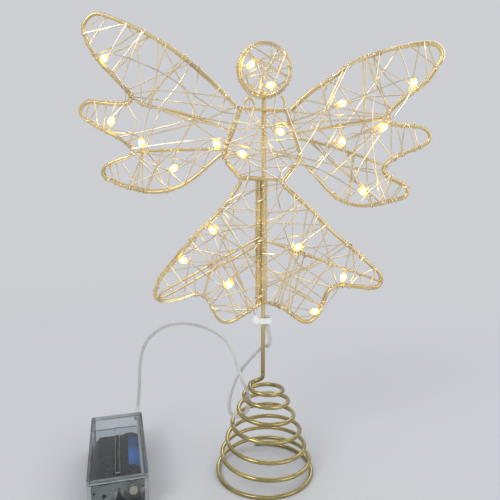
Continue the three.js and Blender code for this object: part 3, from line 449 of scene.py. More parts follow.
def plain_mesh(source, name):
    """The evaluated mesh of an object as a new plain object. The source is removed."""
    graph = bpy.context.evaluated_depsgraph_get()
    mesh = bpy.data.meshes.new_from_object(source.evaluated_get(graph))
    old = source.data
    bpy.data.objects.remove(source)
    bpy.data.meshes.remove(old)
    mesh.name = name
    return link_object(name, mesh)


def smooth_shading(piece, degrees=None):
    """Smooth shading, with sharp edges where faces meet at more than the angle given."""
    for polygon in piece.data.polygons:
        polygon.use_smooth = True
    if degrees is not None:
        piece.data.set_sharp_from_angle(angle=math.radians(degrees))


# Swept wires, by Geometry Nodes

def new_tree(name, inputs, result):
    """A geometry tree with its named inputs. Gives back the tree and the inputs by name."""
    tree = bpy.data.node_groups.new(name, "GeometryNodeTree")
    for title, kind in inputs.items():
        tree.interface.new_socket(title, in_out="INPUT", socket_type="NodeSocket" + kind)
    tree.interface.new_socket(result, in_out="OUTPUT", socket_type="NodeSocketGeometry")
    return tree, tree.nodes.new("NodeGroupInput").outputs


def finish_tree(tree, shape, finish):
    """Ends a tree with realized geometry in its finish."""
    realized = add(tree, "GeometryNodeRealizeInstances", {"Geometry": shape})
    made = add(tree, "GeometryNodeSetMaterial", {"Geometry": realized, "Material": finish})
    feed(tree, tree.nodes.new("NodeGroupOutput"), {0: made})


def sweep_tree():
    """Turns lines of edges into round wires."""
    name = "Wire along lines"
    if name in bpy.data.node_groups:
        return bpy.data.node_groups[name]
    tree, given = new_tree(name, {
        "Lines": "Geometry", "Diameter": "Float", "Sides": "Int", "Finish": "Material"}, "Wire")
    path = add(tree, "GeometryNodeMeshToCurve", {"Mesh": given["Lines"]})
    ring = add(tree, "GeometryNodeCurvePrimitiveCircle", {
        "Radius": maths(tree, "MULTIPLY", given["Diameter"], 0.5), "Resolution": given["Sides"]})
    wire = add(tree, "GeometryNodeCurveToMesh", {
        "Curve": path, "Profile Curve": ring, "Fill Caps": True})
    finish_tree(tree, wire, given["Finish"])
    return tree


def run_tree(source, tree, values, name):
    """The plain mesh that a tree makes of an object, with the tree's inputs set by identifier."""
    modifier = source.modifiers.new(tree.name, "NODES")
    modifier.node_group = tree
    for item in tree.interface.items_tree:
        if item.item_type == "SOCKET" and item.in_out == "INPUT" and item.name in values:
            modifier[item.identifier] = values[item.name]
    return plain_mesh(source, name)


def swept(name, lines, diameter, sides, finish):
    """Round wires of one diameter along lines of points, as one plain mesh."""
    points, edges = [], []
    for line in lines:
        start = len(points)
        points += [tuple(p) for p in line]
        edges += [(i, i + 1) for i in range(start, len(points) - 1)]
    source = link_object(name + "_lines", new_mesh(name + "_lines", points, edges))
    piece = run_tree(source, sweep_tree(), {
        "Diameter": diameter, "Sides": sides, "Finish": material(finish)}, name)
    smooth_shading(piece, WIRE_SHARP_ANGLE)
    return piece


def place(piece, body, slot, *nodes):
    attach(piece, body)
    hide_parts(*nodes)


# The figure's outlines, as shares of its reach and rise from the middle of the waist

WAIST = 175 * MM
LEFT_WING = (102 * MM, 90 * MM)
RIGHT_WING = (95 * MM, 90 * MM)
TORSO = (42 * MM, 41 * MM)
SKIRT = (67 * MM, 82 * MM)
HEAD_RADIUS = 14.2 * MM
HEAD_HEIGHT = 235.6 * MM
ROD_ACROSS = -1.1 * MM
ROD_DEPTH = 2.55 * MM
RIB_DEPTH = 0.4 * MM
STEM_FOOT = 62 * MM
PAINT_FROM = 104 * MM

OUTLINE_SHARES = {
    "left_wing_frame": (LEFT_WING, [
        (-0.158, 0.458), (-0.252, 0.562), (-0.364, 0.68), (-0.433, 0.742), (-0.529, 0.819),
        (-0.618, 0.874), (-0.734, 0.934), (-0.844, 0.982), (-0.914, 0.991), (-0.967, 0.929),
        (-0.96, 0.867), (-0.932, 0.794), (-0.883, 0.713), (-0.829, 0.652), (-0.769, 0.582),
        (-0.725, 0.52), (-0.741, 0.48), (-0.787, 0.471), (-0.877, 0.479), (-0.961, 0.484),
        (-1.002, 0.44), (-0.999, 0.404), (-0.966, 0.374), (-0.899, 0.328), (-0.831, 0.286),
        (-0.761, 0.239), (-0.728, 0.196), (-0.747, 0.16), (-0.79, 0.144), (-0.837, 0.123),
        (-0.884, 0.093), (-0.898, 0.06), (-0.89, 0.033), (-0.849, 0.007), (-0.804, -0.019),
        (-0.734, -0.041), (-0.658, -0.058), (-0.595, -0.06), (-0.525, -0.047), (-0.439, -0.006),
        (-0.361, 0.059), (-0.29, 0.128), (-0.245, 0.17)]),
    "right_wing_frame": (RIGHT_WING, [
        (0.1423, 0.4387), (0.255, 0.547), (0.358, 0.613), (0.477, 0.703), (0.556, 0.743),
        (0.604, 0.759), (0.699, 0.789), (0.786, 0.809), (0.897, 0.824), (0.958, 0.82),
        (0.996, 0.789), (1.003, 0.749), (0.973, 0.687), (0.924, 0.613), (0.846, 0.547),
        (0.783, 0.498), (0.728, 0.442), (0.707, 0.396), (0.735, 0.358), (0.863, 0.343),
        (0.926, 0.326), (0.96, 0.286), (0.952, 0.248), (0.903, 0.214), (0.798, 0.169),
        (0.728, 0.124), (0.699, 0.08), (0.724, 0.038), (0.811, -0.007), (0.84, -0.038),
        (0.843, -0.072), (0.82, -0.098), (0.735, -0.119), (0.635, -0.144), (0.56, -0.146),
        (0.483, -0.128), (0.433, -0.101), (0.381, -0.058), (0.314, 0.016), (0.262, 0.074),
        (0.21, 0.128)]),
    "left_torso_frame": (TORSO, [
        (-0.329, 1.005), (-0.421, 0.751), (-0.548, 0.405), (-0.521, 0.261), (-0.407, 0.129),
        (-0.331, 0.034)]),
    "right_torso_frame": (TORSO, [
        (0.267, 0.963), (0.362, 0.671), (0.452, 0.371), (0.414, 0.259), (0.3, 0.112),
        (0.219, 0.005)]),
    "left_skirt_frame": (SKIRT, [
        (-0.213, 0.007), (-0.222, -0.015), (-0.376, -0.189), (-0.604, -0.374), (-0.794, -0.562),
        (-0.897, -0.663), (-0.949, -0.754), (-0.952, -0.806), (-0.9, -0.834), (-0.743, -0.822),
        (-0.599, -0.79), (-0.516, -0.813), (-0.47, -0.874), (-0.424, -0.951), (-0.37, -0.99),
        (-0.297, -0.99), (-0.196, -0.941), (-0.079, -0.88), (-0.03, -0.858)]),
    "right_skirt_frame": (SKIRT, [
        (-0.012, -0.846), (0.024, -0.849), (0.137, -0.88), (0.24, -0.939), (0.328, -0.989),
        (0.397, -0.99), (0.466, -0.935), (0.51, -0.85), (0.558, -0.761), (0.64, -0.729),
        (0.784, -0.735), (0.913, -0.746), (0.979, -0.734), (1.006, -0.691), (0.982, -0.635),
        (0.915, -0.587), (0.76, -0.468), (0.6, -0.363), (0.397, -0.201), (0.284, -0.121),
        (0.158, -0.027), (0.149, -0.011)]),
}
RIB_SHARES = {
    "left_wing_upper_rib": (LEFT_WING, [
        (-0.2, 0.318), (-0.358, 0.384), (-0.47, 0.427), (-0.66, 0.468), (-0.7, 0.49)]),
    "left_wing_lower_rib": (LEFT_WING, [(-0.24, 0.199), (-0.48, 0.202), (-0.703, 0.188)]),
    "right_wing_upper_rib": (RIGHT_WING, [(0.18, 0.3), (0.45, 0.352), (0.682, 0.392)]),
    "right_wing_lower_rib": (RIGHT_WING, [(0.19, 0.268), (0.45, 0.2), (0.676, 0.112)]),
    "left_skirt_rib": (SKIRT, [
        (-0.045, -0.38), (-0.5, -0.592), (-0.9, -0.781), (-0.922, -0.806), (-0.89, -0.808),
        (-0.5, -0.636), (-0.045, -0.427)]),
    "right_skirt_rib": (SKIRT, [
        (0.003, -0.408), (0.03, -0.415), (0.5, -0.552), (0.975, -0.69), (1.0, -0.697)]),
}
NECK_SHARES = {
    "left_neck_wire": [
        (-0.74, -1.29), (-0.71, -1.13), (-0.6, -1.035), (-0.46, -1.11), (-0.36, -1.29)],
    "right_neck_wire": [(0.67, -0.96), (0.8, -1.17), (0.78, -1.435)],
}
WIRE_STEP = 1.1 * MM
# Half of the head ring's opening, in radians, and its steps
HEAD_GAP = 0.02
HEAD_STEPS = 72


def figure_line(shares, size, depth=0.0):
    reach, rise = size
    return smooth([(x * reach, depth, WAIST + z * rise) for x, z in shares], WIRE_STEP)


def head_line():
    """The head ring, open by a hair at its foot."""
    angles = [
        HEAD_GAP + (FULL_TURN - 2 * HEAD_GAP) * i / HEAD_STEPS for i in range(HEAD_STEPS + 1)]
    return [
        Vector((ROD_ACROSS - HEAD_RADIUS * math.sin(a), 0, HEAD_HEIGHT - HEAD_RADIUS * math.cos(a)))
        for a in angles]


def outlines():
    lines = {name: figure_line(shares, size) for name, (size, shares) in OUTLINE_SHARES.items()}
    lines["head_ring"] = head_line()
    return lines


# Camera and stage

CAMERA_PLACE = (-8.85 * MM, -284.26 * MM, 178.73 * MM)
CAMERA_PITCH = 8.485
# The lens is as long as the sensor is wide
CAMERA_LENS = 36.0
CAMERA_CLIP = 0.01


class ANGEL_OT_camera(bpy.types.Operator):
    """Place the camera where the photograph was taken from"""
    bl_idname = "angel.camera"
    bl_label = "Camera"

    def execute(self, context):
        data = bpy.data.cameras.new("Camera")
        data.lens = data.sensor_width = CAMERA_LENS
        data.clip_start = CAMERA_CLIP
        camera = link_object("Camera", data)
        camera.location = CAMERA_PLACE
        camera.rotation_euler = (math.pi / 2 - math.radians(CAMERA_PITCH), 0, 0)
        context.scene.camera = camera
        return {"FINISHED"}


# Half the paper's width and length, how high it rises, and the radius of its bend, in metres
PAPER_REACH = 3.2
PAPER_RISE = 3.0
PAPER_BEND = 0.8
PAPER_BEND_STEPS = 16
PAPER_DROP = 0.1 * MM
# Where the paper's own even tone begins to take over from the shadow, and where it is alone
TONE_START = 0.2
TONE_END = 0.75
SKY = (0.95, 0.97, 1.0, 1)
LIGHT_TARGET = (0, 0, 0.13)
# Place, size and power
SOFTBOXES = {
    "key": ((-0.7, -0.9, 1.1), (0.6, 0.6), 6),
    "fill": ((1.0, -0.7, 0.5), (0.8, 0.8), 2.5),
    "rim": ((0.3, 1.0, 0.9), (0.8, 0.5), 3),
}


def softbox(name, place_at, size, power):
    data = bpy.data.lights.new(name, "AREA")
    data.shape = "RECTANGLE"
    data.size, data.size_y = size
    data.energy = power
    lamp = link_object(name, data)
    lamp.location = place_at
    aim = Vector(LIGHT_TARGET) - Vector(place_at)
    lamp.rotation_euler = aim.to_track_quat("-Z", "Y").to_euler()


def backdrop_rays(tree):
    """1 for a ray that sees the backdrop: from the camera, off gloss or through clear plastic."""
    ray = tree.nodes.new("ShaderNodeLightPath").outputs
    value = ray["Is Camera Ray"]
    for name in ("Is Glossy Ray", "Is Transmission Ray"):
        value = maths(tree, "MAXIMUM", value, ray[name])
    return value


def paper_sweep(colour):
    """Paper that takes the shadow near the topper, and shows its own even tone further off."""
    paper, tree, shader = new_material("Paper sweep")
    feed(tree, shader, {
        "Base Color": cloudy(tree, 3, 2, shade(colour, 0.99), colour), "Roughness": 0.8})
    place_at = add(tree, "ShaderNodeTexCoord", output="Object")
    apart = add(tree, "ShaderNodeVectorMath", {0: place_at}, "Value", operation="LENGTH")
    far = map_range(tree, apart, TONE_START, TONE_END, interpolation_type="SMOOTHSTEP")
    share = maths(tree, "MULTIPLY", far, backdrop_rays(tree))
    even = add(tree, "ShaderNodeEmission", {"Color": (*colour, 1)})
    mix_shaders(tree, share, shader.outputs["BSDF"], even, "Material Output")
    return paper


class ANGEL_OT_stage(bpy.types.Operator):
    """Build the pale floor, the backdrop and the soft lights"""
    bl_idname = "angel.stage"
    bl_label = "Stage"

    def execute(self, context):
        stage = settings("stage")
        flat = PAPER_REACH - PAPER_BEND
        profile = [(-PAPER_REACH, 0.0), (flat, 0.0)]
        for i in range(1, PAPER_BEND_STEPS + 1):
            angle = math.pi / 2 * i / PAPER_BEND_STEPS
            profile.append(
                (flat + PAPER_BEND * math.sin(angle), PAPER_BEND - PAPER_BEND * math.cos(angle)))
        profile.append((PAPER_REACH, PAPER_RISE))
        points = [(x, y, z - PAPER_DROP) for y, z in profile for x in (-PAPER_REACH, PAPER_REACH)]
        faces = [(2 * i, 2 * i + 1, 2 * i + 3, 2 * i + 2) for i in range(len(profile) - 1)]
        floor = link_object("floor", new_mesh("floor", points, faces=faces))
        smooth_shading(floor)
        floor.data.materials.append(paper_sweep(stage.floor))
        world = context.scene.world = bpy.data.worlds.new("Soft sky")
        world.use_nodes = True
        tree = world.node_tree
        sky = tree.nodes["Background"]
        feed(tree, sky, {"Color": SKY, "Strength": stage.world})
        even = add(tree, "ShaderNodeBackground", {"Color": (*stage.floor, 1)})
        mix_shaders(tree, backdrop_rays(tree), sky.outputs["Background"], even, "World Output")
        for name, (place_at, size, power) in SOFTBOXES.items():
            softbox(name, place_at, size, power)
        context.scene.view_settings.view_transform = "Standard"
        return {"FINISHED"}


# Lead

# Places along the lead, in millimetres
LEAD_ROUTE = [
    (1.55, 2.55, 97.0), (1.55, 2.55, 90.0), (2.5, 2.8, 86.0), (3.2, 3.2, 82.4), (2.8, 3.8, 79.0),
    (1.6, 4.8, 77.0), (1.2, 6.2, 76.4), (1.2, 7.5, 76.4), (1.2, 8.7, 76.4), (-2.2, 10.8, 73.6),
    (-6.5, 10.6, 69.4), (-11.0, 9.2, 64.8), (-15.2, 7.4, 59.4), (-18.8, 4.6, 53.0),
    (-20.9, 2.0, 46.5), (-21.6, 0.7, 40.6), (-20.7, 0.2, 36.8), (-17.8, 0.0, 34.8),
    (-14.2, 0.0, 35.0), (-11.2, 0.3, 37.4), (-9.6, 0.6, 41.4), (-9.4, 0.9, 46.0),
    (-10.9, 1.0, 51.2), (-13.1, 1.4, 55.8), (-14.9, 2.6, 60.6), (-16.4, 3.8, 65.4),
    (-19.7, 7.0, 73.4), (-24.5, 11.0, 79.4), (-33.0, 16.0, 83.6), (-41.7, 20.0, 85.4),
    (-51.8, 24.0, 85.6), (-62.4, 28.0, 82.8), (-70.6, 31.5, 77.6), (-77.4, 35.0, 69.8),
    (-81.4, 37.6, 61.0), (-83.4, 39.6, 51.6), (-84.4, 41.0, 42.0), (-85.2, 42.0, 32.6),
    (-86.0, 42.4, 25.0), (-86.7, 41.6, 19.6), (-86.6, 39.4, 16.9),
]
BOX_TURN = math.radians(15.1)
BOX_PLACE = (-78.5 * MM, -41.4 * MM, 0)
LEAD_ACROSS = 13.1 * MM
LEAD_UP = 16.4 * MM
BOX_LENGTH = 73 * MM
BOX_WALL = 1.4 * MM
INNER_HALF = 14.6 * MM
LID_BOTTOM = 18.7 * MM
GLAND_FACE = BOX_LENGTH + 3.3 * MM
BOX_FRAME = Matrix.Translation(BOX_PLACE) @ Matrix.Rotation(BOX_TURN, 4, "Z")
LEAD_STEP = 0.9 * MM
LEAD_SHARP_ANGLE = 60
# How far each core's round reaches to both sides of straight out, in half turns
CORE_ARC = 0.78
CORE_STEPS = 8
# How far the lead's last two places stand off the gland
GLAND_GAPS = (2.2 * MM, 0.3 * MM)


def twin_section(width, thickness):
    """The lead's section: two round cores side by side, joined by a thin web."""
    radius = thickness / 2
    reach = width / 2 - radius
    points = []
    for side in (1, -1):
        for i in range(CORE_STEPS + 1):
            angle = (-CORE_ARC + 2 * CORE_ARC * i / CORE_STEPS) * math.pi
            points.append(
                (side * (reach + radius * math.cos(angle)), side * radius * math.sin(angle)))
    return points


def ribbon(name, line, section, across, finish):
    """A section swept along a line without twisting more than the line asks for."""
    points = []
    count = len(section)
    side = Vector(across)
    for i, here in enumerate(line):
        along = way_at(line, i).normalized()
        side = (side - along * side.dot(along)).normalized()
        up = along.cross(side)
        points += [tuple(here + side * u + up * v) for u, v in section]
    last = len(points) - count
    faces = [
        *ring_quads(len(line), count),
        tuple(reversed(range(count))), tuple(range(last, last + count))]
    mesh = new_mesh(name, points, faces=faces)
    mesh.materials.append(material(finish))
    piece = link_object(name, mesh)
    smooth_shading(piece, LEAD_SHARP_ANGLE)
    return piece


class ANGEL_OT_lead(bpy.types.Operator):
    """Lay the twin lead from the tie through the coils to the box"""
    bl_idname = "angel.lead"
    bl_label = "Lead"

    def execute(self, context):
        lead = settings("lead")
        route = [Vector(p) * MM for p in LEAD_ROUTE]
        route += [
            BOX_FRAME @ Vector((LEAD_ACROSS, GLAND_FACE + gap, LEAD_UP)) for gap in GLAND_GAPS]
        line = smooth(route, LEAD_STEP)
        piece = ribbon(
            "lead", line, twin_section(lead.width, lead.thickness), (1, 0, 0), "lead")
        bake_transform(piece)
        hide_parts("lead_top", "power_lead")
        return {"FINISHED"}


# Spring

BASE_RADIUS = 28.6 * MM
SPRING_TOP = 54.2 * MM
REST_HEIGHT = 0.75 * MM
STEPS_PER_TURN = 72
# Over how many steps of a coil its radius and height are evened out
EASE_REACH = 11
BEND_STEP = 0.8 * MM
# Turns from the top, share of the base's radius, and share of the way up
COIL_SHARES = [
    (0, 0.315, 1), (0.25, 0.346, 0.976), (1.25, 0.469, 0.864), (2.25, 0.577, 0.696),
    (3.25, 0.717, 0.53), (4.25, 0.818, 0.332), (5.25, 0.93, 0.174), (5.8, 0.975, 0.08),
    (6.02, 0.995, 0.014), (6.1, 1, 0), (6.78, 1, 0),
]
# From the rod's foot to the first coil: shares of the way across, back and down
BEND_SHARES = [
    (0, 0, 0), (0, 0, 0.3), (0.06, -0.05, 0.5), (0.24, -0.25, 0.67), (0.5, -0.35, 0.79),
    (0.77, -0.2, 0.88), (0.94, 0.25, 0.94),
]


def coil_point(turn):
    row = 1
    while row + 1 < len(COIL_SHARES) and COIL_SHARES[row][0] < turn:
        row += 1
    (t0, r0, h0), (t1, r1, h1) = COIL_SHARES[row - 1:row + 1]
    mix = (turn - t0) / (t1 - t0)
    radius = BASE_RADIUS * (r0 + (r1 - r0) * mix)
    height = REST_HEIGHT + (SPRING_TOP - REST_HEIGHT) * (h0 + (h1 - h0) * mix)
    angle = math.pi + FULL_TURN * turn
    return Vector((radius * math.cos(angle), radius * math.sin(angle), height))


def spring_line():
    """The bend down from the rod, and the coils with their radius and height evened out."""
    start = coil_point(0)
    bend = [
        Vector((
            ROD_ACROSS + (start.x - ROD_ACROSS) * across,
            ROD_DEPTH + (start.y - ROD_DEPTH) * deep,
            STEM_FOOT + (start.z - STEM_FOOT) * down))
        for across, deep, down in BEND_SHARES]
    turns = COIL_SHARES[-1][0]
    steps = round(turns * STEPS_PER_TURN)
    coils = [coil_point(turns * i / steps) for i in range(1, steps + 1)]
    kernel = np.hanning(EASE_REACH)
    kernel /= kernel.sum()

    def evened(values):
        return np.convolve(np.pad(np.array(values), EASE_REACH // 2, mode="edge"), kernel, "valid")

    heights = evened([p.z for p in coils])
    radii = evened([math.hypot(p.x, p.y) for p in coils])
    eased = []
    for point, radius, height in zip(coils, radii, heights):
        flat = Vector((point.x, point.y, 0)).normalized() * float(radius)
        eased.append(Vector((flat.x, flat.y, max(float(height), REST_HEIGHT))))
    return smooth([*bend, start], BEND_STEP) + eased


class ANGEL_OT_spring(bpy.types.Operator):
    """Wind the conical spring that the figure stands on"""
    bl_idname = "angel.spring"
    bl_label = "Spring"

    def execute(self, context):
        wires = settings("wires")
        piece = swept("spring", [spring_line()], wires.spring_wire, SPRING_SIDES, "brass_wire")
        for vertex in piece.data.vertices:
            vertex.co.z = max(vertex.co.z, 0.0)
        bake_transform(piece)
        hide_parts("spring_base")
        return {"FINISHED"}


# Figure wires

BAR_STEP = 3 * MM
NECK_STEP = 0.6 * MM
OUTLINE_WAVE = 0.25 * MM
RIB_WAVE = 0.15 * MM
FIRST_RIB_SEED = 20
# A wire's small bends in the figure's plane and across it: run per radian, and strength
FLAT_WAVES = ((9 * MM, 1), (4.3 * MM, 0.6))
DEEP_WAVES = ((21 * MM, 1), (8 * MM, 0.5))
FLAT_SHARE = 0.4
DEEP_SHARE = 0.5


def hand_bent(line, seed, amount):
    """The small waves that bending by hand leaves in a wire."""
    rng = random.Random(seed)
    phases = [rng.uniform(0, FULL_TURN) for _ in (*FLAT_WAVES, *DEEP_WAVES)]

    def wave(run, waves, starts):
        return sum(
            share * math.sin(run / length + start)
            for (length, share), start in zip(waves, starts))

    run = 0.0
    bent = []
    for i, point in enumerate(line):
        if i:
            run += (point - line[i - 1]).length
        flat = wave(run, FLAT_WAVES, phases[:len(FLAT_WAVES)]) * FLAT_SHARE
        deep = wave(run, DEEP_WAVES, phases[len(FLAT_WAVES):]) * DEEP_SHARE
        bent.append(point + Vector((flat, deep, flat)) * amount)
    return bent


def bars():
    """The straight wires, with their diameters."""
    wires = settings("wires")
    return {
        "stem_rod": wires.rod_wire, "support_rod": wires.support_wire,
        "shoulder_bar": wires.frame_wire, "waist_bar": wires.frame_wire,
    }


def bar_line(name, diameter):
    """The middle line of a straight bar or rod, from its node's box."""
    low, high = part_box(name)
    middle = (low + high) / 2
    if name.endswith("rod"):
        start, end = Vector((middle.x, middle.y, low.z)), Vector((middle.x, middle.y, high.z))
    else:
        half = diameter / 2
        start = Vector((low.x, middle.y, high.z - half))
        end = Vector((high.x, middle.y, low.z + half))
    count = max(2, round((end - start).length / BAR_STEP))
    return [start.lerp(end, i / count) for i in range(count + 1)]


class ANGEL_OT_wires(bpy.types.Operator):
    """Bend the outline wires, ribs, bars, neck wires and rods"""
    bl_idname = "angel.wires"
    bl_label = "Figure wires"

    def execute(self, context):
        wires = settings("wires")

        def bend(name, line, diameter, sides, ending="_wire", finish="gold_paint"):
            piece = swept(name + ending, [line], diameter, sides, finish)
            place(piece, FIGURE, "gold_paint", name)

        for number, (name, line) in enumerate(outlines().items()):
            line = hand_bent(line, number, OUTLINE_WAVE)
            bend(name, line, wires.frame_wire, OUTLINE_SIDES)
        for number, (name, (size, shares)) in enumerate(RIB_SHARES.items()):
            line = figure_line(shares, size, RIB_DEPTH)
            line = hand_bent(line, FIRST_RIB_SEED + number, RIB_WAVE)
            bend(name, line, wires.rib_wire, RIB_SIDES)
        for name, shares in NECK_SHARES.items():
            line = smooth([
                (ROD_ACROSS + x * HEAD_RADIUS, 0, HEAD_HEIGHT + z * HEAD_RADIUS)
                for x, z in shares], NECK_STEP)
            bend(name, line, wires.neck_wire, RIB_SIDES, "_bent")
        for name, diameter in bars().items():
            finish = "stem_paint" if name == "stem_rod" else "gold_paint"
            bend(name, bar_line(name, diameter), diameter, ROD_SIDES, finish=finish)
        return {"FINISHED"}


# Lacing

